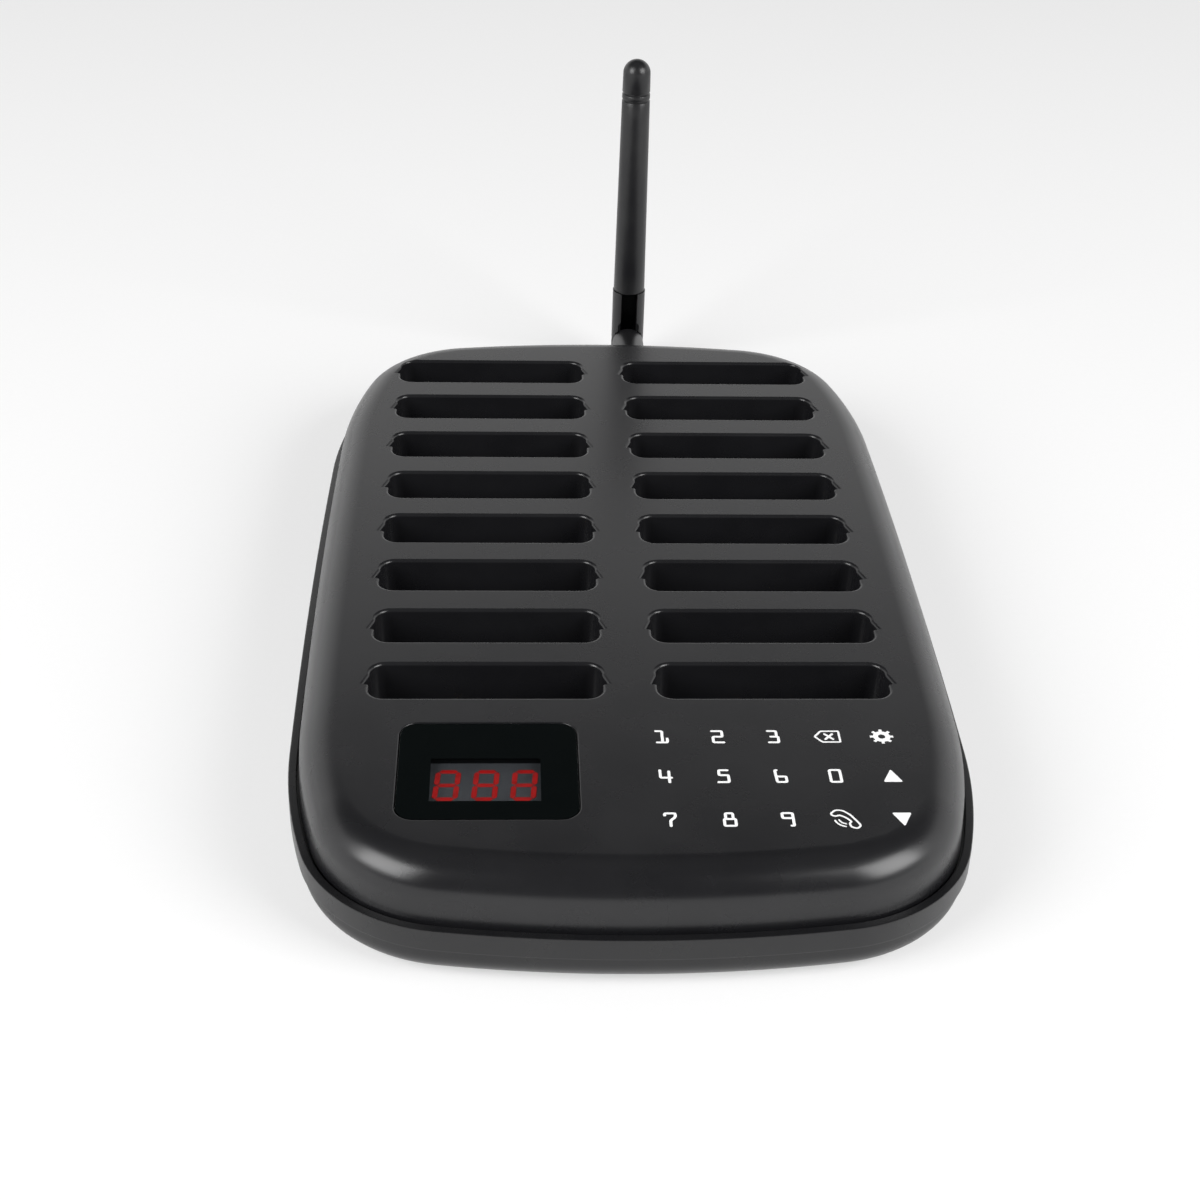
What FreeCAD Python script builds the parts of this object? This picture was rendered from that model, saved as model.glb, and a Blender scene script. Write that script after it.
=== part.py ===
# Guest pager system: the desk unit that calls and charges the pagers.
# A low oblong case with a soft-shouldered cover, two columns of eight pager wells,
# a glossy number window, flat touch keys and a rod antenna that tilts and swivels behind it.
# Millimetres. X runs to the right, Y to the rear, Z up. The table is at z = 0.
import FreeCAD, Part
import math
import os

V = FreeCAD.Vector

# Overall size of the case
case_width = 140.0
case_length = 235.0
case_height = 25.0

# Plan outline of the case: long side, shoulder, corner and end arcs, all tangent
side_arc_r = 2780.0
side_arc_end_gap = 57.0
shoulder_arc_r = 125.0
corner_arc_r = 32.0
end_arc_r = 263.0

# Heights of the lower half
foot_height = 1.2
step_height = 6.8
rim_band_height = 4.8
rim_groove_depth = 1.0

# Walls and edges of the two halves
wall = 2.2
step_inset = 0.8
ledge_width = 1.65
shadow_gap = 0.45
bottom_edge_r = 5.0
cover_shoulder_r = 7.5
cover_draft = 0.35
shoulder_steps = 4
bottom_edge_steps = 2
cover_inner_chamfer = 3.1
cut_overrun = 2.0

# Pager wells in the cover
slot_rows = 8
slot_rear_margin = 25.4
slot_front_margin = 65.4
slot_side_margin = 15.55
slot_column_gap = 8.9
slot_notch_reach = 1.2
slot_depth = 12.2
slot_corner_r = 3.2
slot_corner_steps = 2
slot_rim_round = 0.7
slot_well_depth = 14.6
well_wall = 1.5
well_floor = 1.2
# The key notch at each end of a slot, as shares of the straight part of the end
notch_rear_share = 0.72
notch_front_share = -0.5
notch_tip_share = -0.41

# Spring contact pins in the wells
pin_spacing = 12.0
pin_across = 0.9
pin_rise = 1.5
pin_length = 4.0
pin_fit = 0.06
contact_block_length = 17.0
contact_block_width = 3.6
contact_block_rim = 1.4
contact_block_floor = 0.3
contact_block_gap = 0.2

# Number window at the left of the front panel
window_length_x = 35.0
window_length_y = 30.7
window_corner_r = 3.8
window_thickness = 1.2
window_recess = 1.4
window_gap = 0.15
window_tape = 0.15
window_tape_width = 2.4
window_side_margin = 23.7
window_front_margin = 35.25

# Three-digit display behind the window
display_length = 22.5
display_width = 14.0
display_height = 7.2
display_offset_x = -0.45
display_offset_y = -3.0
display_window_gap = 0.3
display_opening_gap = 0.8
digit_count = 3
digit_pitch = 7.4
digit_height = 9.5
digit_width = 4.9
digit_stroke = 1.0
digit_gap = 0.15
digit_relief = 0.08
digit_slant_deg = 4.0

# Touch keys: five columns by three rows on a board under the cover
key_columns = 5
key_rows = 3
key_pitch_y = 13.05
key_first_x = 5.3
key_side_margin = 20.9
key_rear_row_margin = 45.8
key_pad_across = 7.4
key_pad_thickness = 0.9
key_board_thickness = 1.2
key_board_margin = 0.6

# Boards
board_thickness = 1.6
main_board_side_gap = 9.0
main_board_front_gap = 14.5
main_board_width = 40.0
base_board_side_gap = 16.0
base_board_front_gap = 49.5
base_board_rear_gap = 5.5
board_edge_clearance = 0.8
board_post_height = 1.2
board_post_r = 2.4
board_hole_clearance = 0.25

# Screws
board_screw_r = 1.1
board_screw_head_r = 2.0
board_screw_head_height = 1.3
board_screw_grip = 4.0
case_screw_r = 1.4
case_screw_head_r = 2.5
case_screw_head_height = 1.8
case_screw_length = 12.0
screw_clearance = 0.25
screw_pilot_clearance = 0.03

# Posts and bosses that join the halves. What is hidden inside has flats, which keeps its repeats light
hidden_flat_count = 8
hexagon_flat_count = 6
screw_flat_count = 6
post_r = 3.3
post_top_z = 10.0
post_counterbore_depth = 3.0
rear_post_share = 0.6357
rear_post_end_gap = 8.79
side_post_gap = 8.6
side_post_front_gap = 57.5
front_post_share = 0.3429
front_post_end_gap = 8.2
main_boss_r = 2.6
main_boss_edge = 3.6
main_boss_front_gap = 11.8
base_post_edge = 4.0
base_post_front_gap = 19.0
base_post_rear_gap = 27.0

# Rubber feet
foot_r = 6.0
foot_flat_count = 24
foot_side_gap = 18.0
foot_end_gap = 27.5

# Parts on the main board
header_length = 20.0
header_width = 5.0
header_edge_gap = 31.0
header_front_gap = 7.0
chip_size = 12.0
chip_height = 1.4
chip_ribbon_offset = 20.0
chip_front_gap = 23.0
buzzer_r = 6.0
buzzer_height = 8.0
buzzer_edge_gap = 19.0
buzzer_front_gap = 27.0
crystal_length = 11.0
crystal_width = 4.6
crystal_height = 3.5
crystal_chip_offset = 16.0

# Flat ribbon between the two boards
ribbon_width = 12.0
ribbon_thickness = 0.35
ribbon_bend_r = 1.8
ribbon_x = 0.0
ribbon_top_gap = 11.0
ribbon_bottom_gap = 4.0
ribbon_socket_length = 15.0
ribbon_socket_width = 4.0
ribbon_socket_height = 2.4

# Parts on the base board
capacitor_r = 4.0
capacitor_height = 9.0
capacitor_jack_gap = 1.9
capacitor_end_gap = 12.3

# Power inlet in the rear wall
jack_width = 9.0
jack_height = 11.0
jack_depth = 14.0
jack_share = 0.2
jack_face_recess = 0.6
jack_bore_r = 3.2
jack_bore_depth = 9.5
jack_axis_height = 6.5
jack_pin_r = 1.05
jack_pin_recess = 0.8
port_clearance = 0.25

# Slide switch in the rear wall
switch_width = 9.0
switch_height = 5.4
switch_depth = 4.6
switch_share = 0.4143
switch_wall_gap = 0.3
slider_width = 2.6
slider_height = 1.8
slider_reach = 1.6
slider_root = 2.0
slider_travel = 2.0
slider_clearance = 0.3
slider_axis_height = 3.7

# Radio section by the antenna
radio_length = 16.0
radio_width = 10.0
radio_board_thickness = 0.8
radio_share = 0.4357
radio_end_gap = 11.7
shield_margin = 0.8
shield_height = 2.4
lead_r = 0.6
lead_flat_count = 6
lead_bend_r = 3.6

# Antenna socket through the rear wall
antenna_share = 1 / 7
antenna_axis_z = 8.5
socket_thread_r = 3.1
socket_hole_clearance = 0.12
socket_thread_length = 9.6
socket_flange_width = 8.0
socket_flange_height = 6.4
socket_flange_thickness = 2.0
socket_ferrule_r = 1.9
socket_ferrule_length = 6.0
socket_nut_thickness = 1.9
socket_nut_across = 8.0
socket_pad_depth = 1.9
socket_pad_r = 5.2

# Antenna
mast_setback = 31.4
barrel_r = 4.5
barrel_gap = 0.9
barrel_wall = 0.7
tongue_root = 0.6
coupling_flat_count = 12
coupling_fit = 0.07
coupling_length = 7.0
coupling_moulding_gap = 0.03
shoulder_to_pivot = 3.0
tongue_thickness = 4.2
tongue_r = 2.6
fork_slot_clearance = 0.2
fork_end_r = 2.7
fork_arch_clearance = 0.35
fork_rear_wall = 1.4
fork_base_r = 4.65
hood_width = 6.1
hood_rise = 2.0
mast_seam_r = 4.45
mast_seam_z = 24.2
mast_tip_r = 3.75
mast_tip_z = 91.6
mast_wall = 1.1
mast_hollow = 0.02
mast_dome_steps = 3
spigot_length = 9.0
spigot_gap = 0.05
ring_groove_width = 0.6
ring_groove_depth = 0.35
ring_groove_first_z = 82.5
ring_groove_pitch = 1.9
pivot_r = 1.0
pivot_length = 8.4
pivot_press = 0.02
pivot_fit = 0.07
radiator_r = 0.9
radiator_length = 58.0
radiator_sleeve_r = 2.4
radiator_sleeve_length = 22.0

# Heights worked out from the sizes above
top_z = case_height
ceiling_z = top_z - wall
underside_z = foot_height
floor_z = underside_z + wall
step_z = underside_z + step_height
rim_z = step_z + rim_band_height
seat_z = rim_z - rim_groove_depth
cover_inset = ledge_width + shadow_gap
case_inner_inset = step_inset + wall
cover_inner_inset = cover_inset + wall
half_width = case_width / 2
half_length = case_length / 2
well_floor_z = top_z - slot_well_depth
well_bottom_z = well_floor_z - well_floor
base_board_z = floor_z + board_post_height
base_board_top_z = base_board_z + board_thickness
window_seat_z = top_z - window_recess
window_bottom_z = window_seat_z + window_tape
display_face_z = window_bottom_z - display_window_gap
main_board_top_z = display_face_z - display_height
main_board_z = main_board_top_z - board_thickness
key_board_top_z = ceiling_z - key_pad_thickness
key_board_z = key_board_top_z - key_board_thickness
pin_tip_z = well_floor_z + pin_rise
pad_y = half_length - socket_pad_depth
mast_y = half_length + mast_setback
shoulder_y = mast_y - shoulder_to_pivot
slot_tray_height = slot_depth + 2 * well_wall

# Places worked out from the case, whose front edge is at -half_length
slot_length = half_width - slot_side_margin - slot_column_gap / 2
slot_body_length = slot_length - 2 * slot_notch_reach
slot_column_spacing = slot_length + slot_column_gap
slot_row_pitch = (case_length - slot_rear_margin - slot_front_margin) / (slot_rows - 1)
slot_first_row_y = half_length - slot_rear_margin
window_x = window_side_margin + window_length_x / 2 - half_width
window_y = window_front_margin - half_length
display_x = window_x + display_offset_x
display_y = window_y + display_offset_y
key_pitch_x = (half_width - key_side_margin - key_first_x) / (key_columns - 1)
key_first_y = key_rear_row_margin - half_length
main_board_half_x = half_width - main_board_side_gap
main_board_front_y = main_board_front_gap - half_length
main_board_rear_y = main_board_front_y + main_board_width
base_board_half_x = half_width - base_board_side_gap
base_board_front_y = base_board_front_gap - half_length
base_board_rear_y = half_length - base_board_rear_gap
header_x = main_board_half_x - header_edge_gap
header_y = main_board_front_y + header_front_gap
chip_x = ribbon_x + chip_ribbon_offset
chip_y = main_board_front_y + chip_front_gap
buzzer_x = buzzer_edge_gap - main_board_half_x
buzzer_y = main_board_front_y + buzzer_front_gap
crystal_x = chip_x + crystal_chip_offset
ribbon_top_y = main_board_rear_y - ribbon_top_gap
ribbon_bottom_y = base_board_front_y + ribbon_bottom_gap
antenna_x = antenna_share * half_width
jack_x = -jack_share * half_width
switch_x = -switch_share * half_width
capacitor_x = jack_x + jack_width / 2 + capacitor_jack_gap + capacitor_r
capacitor_y = half_length - capacitor_end_gap
radio_x = radio_share * half_width
radio_y = half_length - radio_end_gap

# The origin stands under the middle of the whole object, antenna included
rear_overhang = mast_y + fork_base_r - half_length
centre_shift = V(0, -rear_overhang / 2, 0)


# General shapes

def box(x0, x1, y0, y1, z0, z1):
    return Part.makeBox(x1 - x0, y1 - y0, z1 - z0, V(x0, y0, z0))


def rod(radius, x, y, z0, z1):
    return Part.makeCylinder(radius, z1 - z0, V(x, y, z0), V(0, 0, 1))


def prism(flats, radius, x, y, z0, z1):
    # A rod with flats, radius measured to its corners
    corners = []
    for i in range(flats):
        angle = 2 * math.pi * (i + 1 / 2) / flats
        corners.append(V(x + radius * math.cos(angle), y + radius * math.sin(angle), z0))
    return Part.Face(chain(corners)).extrude(V(0, 0, z1 - z0))


def rod_y(radius, x, y0, y1, z):
    return Part.makeCylinder(radius, y1 - y0, V(x, y0, z), V(0, 1, 0))


def fused(shapes):
    body = shapes[0].fuse(shapes[1:])
    return body.removeSplitter()


def arc_edge(cx, cy, radius, start, end, z):
    points = []
    for angle in (start, (start + end) / 2, end):
        points.append(V(cx + radius * math.cos(angle), cy + radius * math.sin(angle), z))
    return Part.Arc(*points).toShape()


def chain(points):
    edges = []
    for a, b in zip(points, points[1:] + points[:1]):
        edges.append(Part.makeLine(a, b))
    return Part.Wire(edges)


def rounded_plate(cx, cy, length_x, length_y, radius, z0, z1):
    hx = length_x / 2 - radius
    hy = length_y / 2 - radius
    edges = []
    corners = ((1, 1), (-1, 1), (-1, -1), (1, -1))
    arcs = []
    for i, (sx, sy) in enumerate(corners):
        start = i * math.pi / 2
        arcs.append(arc_edge(cx + sx * hx, cy + sy * hy, radius, start, start + math.pi / 2, z0))
    for i, arc in enumerate(arcs):
        following = arcs[(i + 1) % len(arcs)]
        edges.append(arc)
        edges.append(Part.makeLine(arc.valueAt(arc.LastParameter), following.valueAt(following.FirstParameter)))
    return Part.Face(Part.Wire(edges)).extrude(V(0, 0, z1 - z0))


# Plan outline of the case

def outline_centres():
    side = V(half_width - side_arc_r, 0, 0)
    side_turn = math.asin((half_length - side_arc_end_gap) / side_arc_r)
    reach = side_arc_r - shoulder_arc_r
    shoulder = side + V(reach * math.cos(side_turn), reach * math.sin(side_turn), 0)
    end = V(0, half_length - end_arc_r, 0)
    # The corner arc touches the shoulder arc and the end arc from inside
    to_shoulder = shoulder_arc_r - corner_arc_r
    to_end = end_arc_r - corner_arc_r
    span = end - shoulder
    distance = span.Length
    along = (to_shoulder ** 2 - to_end ** 2 + distance ** 2) / (2 * distance)
    across = math.sqrt(to_shoulder ** 2 - along ** 2)
    unit = span / distance
    corner = shoulder + unit * along + V(-unit.y, unit.x, 0) * across
    if corner.x < 0:
        corner = shoulder + unit * along - V(-unit.y, unit.x, 0) * across
    shoulder_turn = math.atan2(corner.y - shoulder.y, corner.x - shoulder.x)
    end_turn = math.atan2(corner.y - end.y, corner.x - end.x)
    return side, shoulder, corner, end, side_turn, shoulder_turn, end_turn


def outline(inset, z):
    side, shoulder, corner, end, t1, t2, t3 = outline_centres()
    half_turn = math.pi
    full_turn = 2 * math.pi
    arcs = [
        (side.x, side.y, side_arc_r, -t1, t1),
        (shoulder.x, shoulder.y, shoulder_arc_r, t1, t2),
        (corner.x, corner.y, corner_arc_r, t2, t3),
        (end.x, end.y, end_arc_r, t3, half_turn - t3),
        (-corner.x, corner.y, corner_arc_r, half_turn - t3, half_turn - t2),
        (-shoulder.x, shoulder.y, shoulder_arc_r, half_turn - t2, half_turn - t1),
        (-side.x, side.y, side_arc_r, half_turn - t1, half_turn + t1),
        (-shoulder.x, -shoulder.y, shoulder_arc_r, half_turn + t1, half_turn + t2),
        (-corner.x, -corner.y, corner_arc_r, half_turn + t2, half_turn + t3),
        (end.x, -end.y, end_arc_r, half_turn + t3, full_turn - t3),
        (corner.x, -corner.y, corner_arc_r, full_turn - t3, full_turn - t2),
        (shoulder.x, -shoulder.y, shoulder_arc_r, full_turn - t2, full_turn - t1),
    ]
    edges = [arc_edge(cx, cy, radius - inset, start, stop, z) for cx, cy, radius, start, stop in arcs]
    return Part.Wire(edges)


def slab(inset, z0, z1):
    return Part.Face(outline(inset, z0)).extrude(V(0, 0, z1 - z0))


def rounded_slab(inset, z0, z1, edge_r, steps, at_top, draft=0):
    # A slab whose upper or lower edge turns in by edge_r, in even steps of the quarter turn
    levels = []
    for i in range(steps + 1):
        angle = i * math.pi / 2 / steps
        levels.append((inset + draft + edge_r * (1 - math.cos(angle)), edge_r * (1 - math.sin(angle))))
    if at_top:
        rings = [outline(inset, z0)] + [outline(ring_inset, z1 - drop) for ring_inset, drop in levels]
    else:
        rings = [outline(ring_inset, z0 + drop) for ring_inset, drop in levels[::-1]] + [outline(inset, z1)]
    return Part.makeLoft(rings, True, True)


# Places that repeat

def slot_centres():
    places = []
    for row in range(slot_rows):
        for side in (-1, 1):
            x = side * slot_column_spacing / 2
            y = slot_first_row_y - row * slot_row_pitch
            places.append((x, y))
    return places


def key_centres():
    places = []
    for row in range(key_rows):
        for column in range(key_columns):
            places.append((key_first_x + column * key_pitch_x, key_first_y - row * key_pitch_y))
    return places


def end_y(x):
    # Where the rounded end of the case crosses this x
    side, shoulder, corner, end, t1, t2, t3 = outline_centres()
    if abs(x) < end.x + end_arc_r * math.cos(t3):
        return end.y + math.sqrt(end_arc_r ** 2 - x ** 2)
    return corner.y + math.sqrt(corner_arc_r ** 2 - (abs(x) - corner.x) ** 2)


def case_post_places():
    places = []
    rear_x = rear_post_share * half_width
    front_x = front_post_share * half_width
    for side in (-1, 1):
        places.append((side * rear_x, end_y(rear_x) - rear_post_end_gap))
        places.append((side * (half_width - side_post_gap), side_post_front_gap - half_length))
        places.append((side * front_x, front_post_end_gap - end_y(front_x)))
    return places


def main_boss_places():
    places = []
    x = main_board_half_x - main_boss_edge
    for side in (-1, 1):
        places.append((side * x, main_board_rear_y - main_boss_edge))
        places.append((side * x, main_board_front_y + main_boss_front_gap))
    return places


def base_post_places():
    places = []
    x = base_board_half_x - base_post_edge
    for side in (-1, 1):
        places.append((side * x, base_board_rear_y - base_post_rear_gap))
        places.append((side * x, base_board_front_y + base_post_front_gap))
    return places


# Pager slots

def slot_outline(cx, cy, grow, z):
    half_body = slot_body_length / 2 + grow
    half_depth = slot_depth / 2 + grow
    radius = slot_corner_r + grow
    straight = half_depth - radius
    tip = slot_length / 2 + grow
    corner = []
    for i in range(slot_corner_steps + 1):
        angle = i * math.pi / 2 / slot_corner_steps
        corner.append((half_body - radius * (1 - math.cos(angle)), straight + radius * math.sin(angle)))
    # One end from its front corner, round the key notch, to its rear corner
    end = [(x, -y) for x, y in corner[::-1]]
    end.append((half_body, notch_front_share * straight))
    end.append((tip, notch_tip_share * straight))
    end.append((half_body, notch_rear_share * straight))
    end.extend(corner)
    points = end + [(-x, y) for x, y in end[::-1]]
    return chain([V(cx + x, cy + y, z) for x, y in points])


def slot_cutter(cx, cy):
    rim_start = top_z - slot_rim_round
    well = Part.Face(slot_outline(cx, cy, 0, well_floor_z)).extrude(V(0, 0, rim_start - well_floor_z))
    rim = Part.makeLoft([slot_outline(cx, cy, 0, rim_start), slot_outline(cx, cy, slot_rim_round, top_z)], True, True)
    above = Part.Face(slot_outline(cx, cy, slot_rim_round, top_z)).extrude(V(0, 0, cut_overrun))
    return [well, rim, above]


def pin_places(cx, cy):
    return [(cx - pin_spacing / 2, cy), (cx + pin_spacing / 2, cy)]


# The cover with its wells

def top_cover():
    shell = rounded_slab(cover_inset, seat_z, top_z, cover_shoulder_r, shoulder_steps, True, cover_draft)
    hollow = rounded_slab(cover_inner_inset, seat_z, ceiling_z, cover_inner_chamfer, 1, True)
    cover = shell.cut(hollow)

    solids = []
    half_well = slot_length / 2 + well_wall
    half_tray = slot_tray_height / 2
    for cx, cy in slot_centres():
        solids.append(box(cx - half_well, cx + half_well, cy - half_tray, cy + half_tray,
                          well_bottom_z, ceiling_z))
    for x, y in case_post_places():
        solids.append(prism(hidden_flat_count, post_r, x, y, post_top_z, ceiling_z))
    for x, y in main_boss_places():
        solids.append(prism(hidden_flat_count, main_boss_r, x, y, main_board_top_z, ceiling_z))
    cover = cover.fuse(solids)

    cuts = []
    pin_half = pin_across / 2 + pin_fit
    for cx, cy in slot_centres():
        cuts.extend(slot_cutter(cx, cy))
        for x, y in pin_places(cx, cy):
            cuts.append(box(x - pin_half, x + pin_half, y - pin_half, y + pin_half,
                            well_bottom_z - cut_overrun, well_floor_z + cut_overrun))
    for x, y in case_post_places():
        cuts.append(prism(screw_flat_count, case_screw_r + screw_pilot_clearance, x, y, post_top_z - cut_overrun,
                          underside_z + post_counterbore_depth + case_screw_length + screw_clearance))
    for x, y in main_boss_places():
        cuts.append(prism(screw_flat_count, board_screw_r + screw_pilot_clearance, x, y, main_board_top_z - cut_overrun,
                          main_board_z + board_thickness + board_screw_grip + screw_clearance))
    cuts.append(rounded_plate(window_x, window_y, window_length_x, window_length_y, window_corner_r,
                              window_seat_z, top_z + cut_overrun))
    cuts.append(display_opening())
    cuts.append(jack_port())
    cover = cover.cut(Part.makeCompound(cuts))
    return cover.removeSplitter()


def display_opening():
    hx = display_length / 2 + display_opening_gap
    hy = display_width / 2 + display_opening_gap
    return box(display_x - hx, display_x + hx, display_y - hy, display_y + hy,
               ceiling_z - cut_overrun, window_seat_z + window_thickness)


def jack_port():
    half = jack_width / 2 + port_clearance
    return box(jack_x - half, jack_x + half, half_length - case_inner_inset - wall, half_length + cut_overrun,
               base_board_top_z - port_clearance, base_board_top_z + jack_height + port_clearance)


# The lower half of the case

def bottom_case():
    band = slab(0, step_z, rim_z)
    tub = rounded_slab(step_inset, underside_z, step_z, bottom_edge_r, bottom_edge_steps, False)
    case = band.fuse(tub)
    cavity = slab(case_inner_inset, floor_z, rim_z)
    rebate = slab(ledge_width, seat_z, rim_z + cut_overrun)
    case = case.cut([cavity, rebate])

    solids = []
    for x, y in case_post_places():
        solids.append(prism(hidden_flat_count, post_r, x, y, floor_z - wall / 2, post_top_z))
    for x, y in base_post_places():
        solids.append(prism(hidden_flat_count, board_post_r, x, y, floor_z - wall / 2, base_board_z))
    case = case.fuse(solids)

    cuts = []
    for x, y in case_post_places():
        cuts.append(prism(screw_flat_count, case_screw_r + screw_clearance, x, y, underside_z, post_top_z + cut_overrun))
        cuts.append(prism(2 * screw_flat_count, case_screw_head_r + screw_clearance, x, y, underside_z - cut_overrun,
                          underside_z + post_counterbore_depth))
    for x, y in base_post_places():
        cuts.append(prism(screw_flat_count, board_screw_r + screw_pilot_clearance, x, y, floor_z - wall / 3,
                          base_board_z + cut_overrun))
    cuts.append(jack_port())
    cuts.append(slider_port())
    cuts.append(rod_y(socket_pad_r, antenna_x, pad_y, half_length + cut_overrun, antenna_axis_z))
    cuts.append(rod_y(socket_thread_r + socket_hole_clearance, antenna_x,
                      half_length - case_inner_inset - wall, half_length + cut_overrun, antenna_axis_z))
    case = case.cut(cuts)
    return case.removeSplitter()


def foot_places():
    x = half_width - foot_side_gap
    y = half_length - foot_end_gap
    return [(side * x, end * y) for side in (-1, 1) for end in (-1, 1)]


def rubber_feet():
    return Part.makeCompound([prism(foot_flat_count, foot_r, x, y, 0, underside_z) for x, y in foot_places()])


# Screws

def screw(x, y, head_z, radius, head_r, head_height, length, points_up):
    # A short screw whose head rests at head_z and whose shank runs away from it
    turn = 1 if points_up else -1
    head_end = head_z - turn * head_height
    shank_end = head_z + turn * length
    head = prism(screw_flat_count, head_r, x, y, min(head_z, head_end), max(head_z, head_end))
    shank = prism(screw_flat_count, radius, x, y, min(head_z, shank_end), max(head_z, shank_end))
    return fused([head, shank])


def case_screws():
    head_z = underside_z + post_counterbore_depth
    return Part.makeCompound([
        screw(x, y, head_z, case_screw_r, case_screw_head_r, case_screw_head_height, case_screw_length, True)
        for x, y in case_post_places()])


def main_board_screws():
    length = board_thickness + board_screw_grip
    return Part.makeCompound([
        screw(x, y, main_board_z, board_screw_r, board_screw_head_r, board_screw_head_height, length, True)
        for x, y in main_boss_places()])


def base_board_screws():
    length = board_thickness + board_post_height + wall / 4
    return Part.makeCompound([
        screw(x, y, base_board_top_z, board_screw_r, board_screw_head_r, board_screw_head_height, length, False)
        for x, y in base_post_places()])


# The number window and the display

def display_window():
    pane = rounded_plate(window_x, window_y, window_length_x - 2 * window_gap, window_length_y - 2 * window_gap,
                         window_corner_r - window_gap, window_bottom_z, window_bottom_z + window_thickness)
    return pane


def window_adhesive():
    half_x = window_length_x / 2 - 2 * window_gap
    half_y = window_length_y / 2 - 2 * window_gap
    inner_x = half_x - window_tape_width
    inner_y = half_y - window_tape_width
    cut_back = window_corner_r - 2 * window_gap
    corners = [(half_x - cut_back, half_y), (half_x, half_y - cut_back)]
    points = corners + [(x, -y) for x, y in corners[::-1]]
    points += [(-x, y) for x, y in points[::-1]]
    sheet = Part.Face(chain([V(window_x + x, window_y + y, window_seat_z) for x, y in points]))
    sheet = sheet.extrude(V(0, 0, window_tape))
    opening = box(window_x - inner_x, window_x + inner_x, window_y - inner_y, window_y + inner_y,
                  window_seat_z - cut_overrun, window_bottom_z + cut_overrun)
    return sheet.cut(opening)


def display_module():
    hx = display_length / 2
    hy = display_width / 2
    return box(display_x - hx, display_x + hx, display_y - hy, display_y + hy, main_board_top_z, display_face_z)


def segment_bar(x0, y0, x1, y1):
    # One pointed bar between two corners of a digit
    half = digit_stroke / 2
    if y0 == y1:
        points = [(x0, y0), (x0 + half, y0 - half), (x1 - half, y0 - half),
                  (x1, y1), (x1 - half, y1 + half), (x0 + half, y0 + half)]
    else:
        points = [(x0, y0), (x0 + half, y0 + half), (x0 + half, y1 - half),
                  (x1, y1), (x0 - half, y1 - half), (x0 - half, y0 + half)]
    slant = math.tan(math.radians(digit_slant_deg))
    return [(x + y * slant, y) for x, y in points]


def display_segments():
    half_x = (digit_width - digit_stroke) / 2
    half_y = (digit_height - digit_stroke) / 2
    levels = (-half_y, 0, half_y)
    bars = []
    for y in levels:
        bars.append((-half_x + digit_gap, y, half_x - digit_gap, y))
    for x in (-half_x, half_x):
        bars.append((x, levels[0] + digit_gap, x, levels[1] - digit_gap))
        bars.append((x, levels[1] + digit_gap, x, levels[2] - digit_gap))
    lights = []
    for i in range(digit_count):
        centre = display_x + (i - (digit_count - 1) / 2) * digit_pitch
        for bar in bars:
            points = [V(centre + x, display_y + y, display_face_z) for x, y in segment_bar(*bar)]
            lights.append(Part.Face(chain(points)).extrude(V(0, 0, digit_relief)))
    return Part.makeCompound(lights)


# Touch keys

def touch_pads():
    half = key_pad_across / 2
    pads = [box(x - half, x + half, y - half, y + half, key_board_top_z, ceiling_z) for x, y in key_centres()]
    flat = slab(cover_inner_inset + cover_inner_chamfer + board_hole_clearance, key_board_top_z, ceiling_z)
    return Part.makeCompound([pad.common(flat) for pad in pads])


def key_board():
    places = key_centres()
    reach = key_pad_across / 2 + key_board_margin
    x0 = min(x for x, y in places) - reach
    x1 = max(x for x, y in places) + reach
    y0 = min(y for x, y in places) - reach
    y1 = max(y for x, y in places) + reach
    board = box(x0, x1, y0, y1, key_board_z, key_board_top_z)
    flat = slab(cover_inner_inset + cover_inner_chamfer + board_hole_clearance, key_board_z, key_board_top_z)
    return board.common(flat)


# Main board and what it carries

def main_board():
    board = box(-main_board_half_x, main_board_half_x, main_board_front_y, main_board_rear_y,
                main_board_z, main_board_top_z)
    inside = slab(cover_inner_inset + board_edge_clearance, main_board_z, main_board_top_z)
    board = board.common(inside)
    z0 = main_board_z - cut_overrun
    z1 = main_board_top_z + cut_overrun
    holes = [prism(screw_flat_count, board_screw_r + board_hole_clearance, x, y, z0, z1) for x, y in main_boss_places()]
    holes.extend([prism(hidden_flat_count, post_r + board_edge_clearance, x, y, z0, z1) for x, y in case_post_places()])
    return board.cut(holes)


def board_header():
    hx = header_length / 2
    hy = header_width / 2
    return box(header_x - hx, header_x + hx, header_y - hy, header_y + hy, main_board_top_z, key_board_z)


def control_chip():
    h = chip_size / 2
    return box(chip_x - h, chip_x + h, chip_y - h, chip_y + h, main_board_z - chip_height, main_board_z)


def crystal():
    hx = crystal_width / 2
    hy = crystal_length / 2
    return box(crystal_x - hx, crystal_x + hx, chip_y - hy, chip_y + hy, main_board_z - crystal_height, main_board_z)


def buzzer():
    return prism(2 * hidden_flat_count, buzzer_r, buzzer_x, buzzer_y, main_board_z - buzzer_height, main_board_z)


# Ribbon between the boards and its two sockets

def ribbon_sockets():
    sockets = []
    hx = ribbon_socket_length / 2
    hy = ribbon_socket_width / 2
    levels = ((ribbon_top_y, main_board_z - ribbon_socket_height), (ribbon_bottom_y, base_board_top_z))
    for y, z in levels:
        sockets.append(box(ribbon_x - hx, ribbon_x + hx, y - hy, y + hy, z, z + ribbon_socket_height))
    return Part.makeCompound(sockets)


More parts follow.
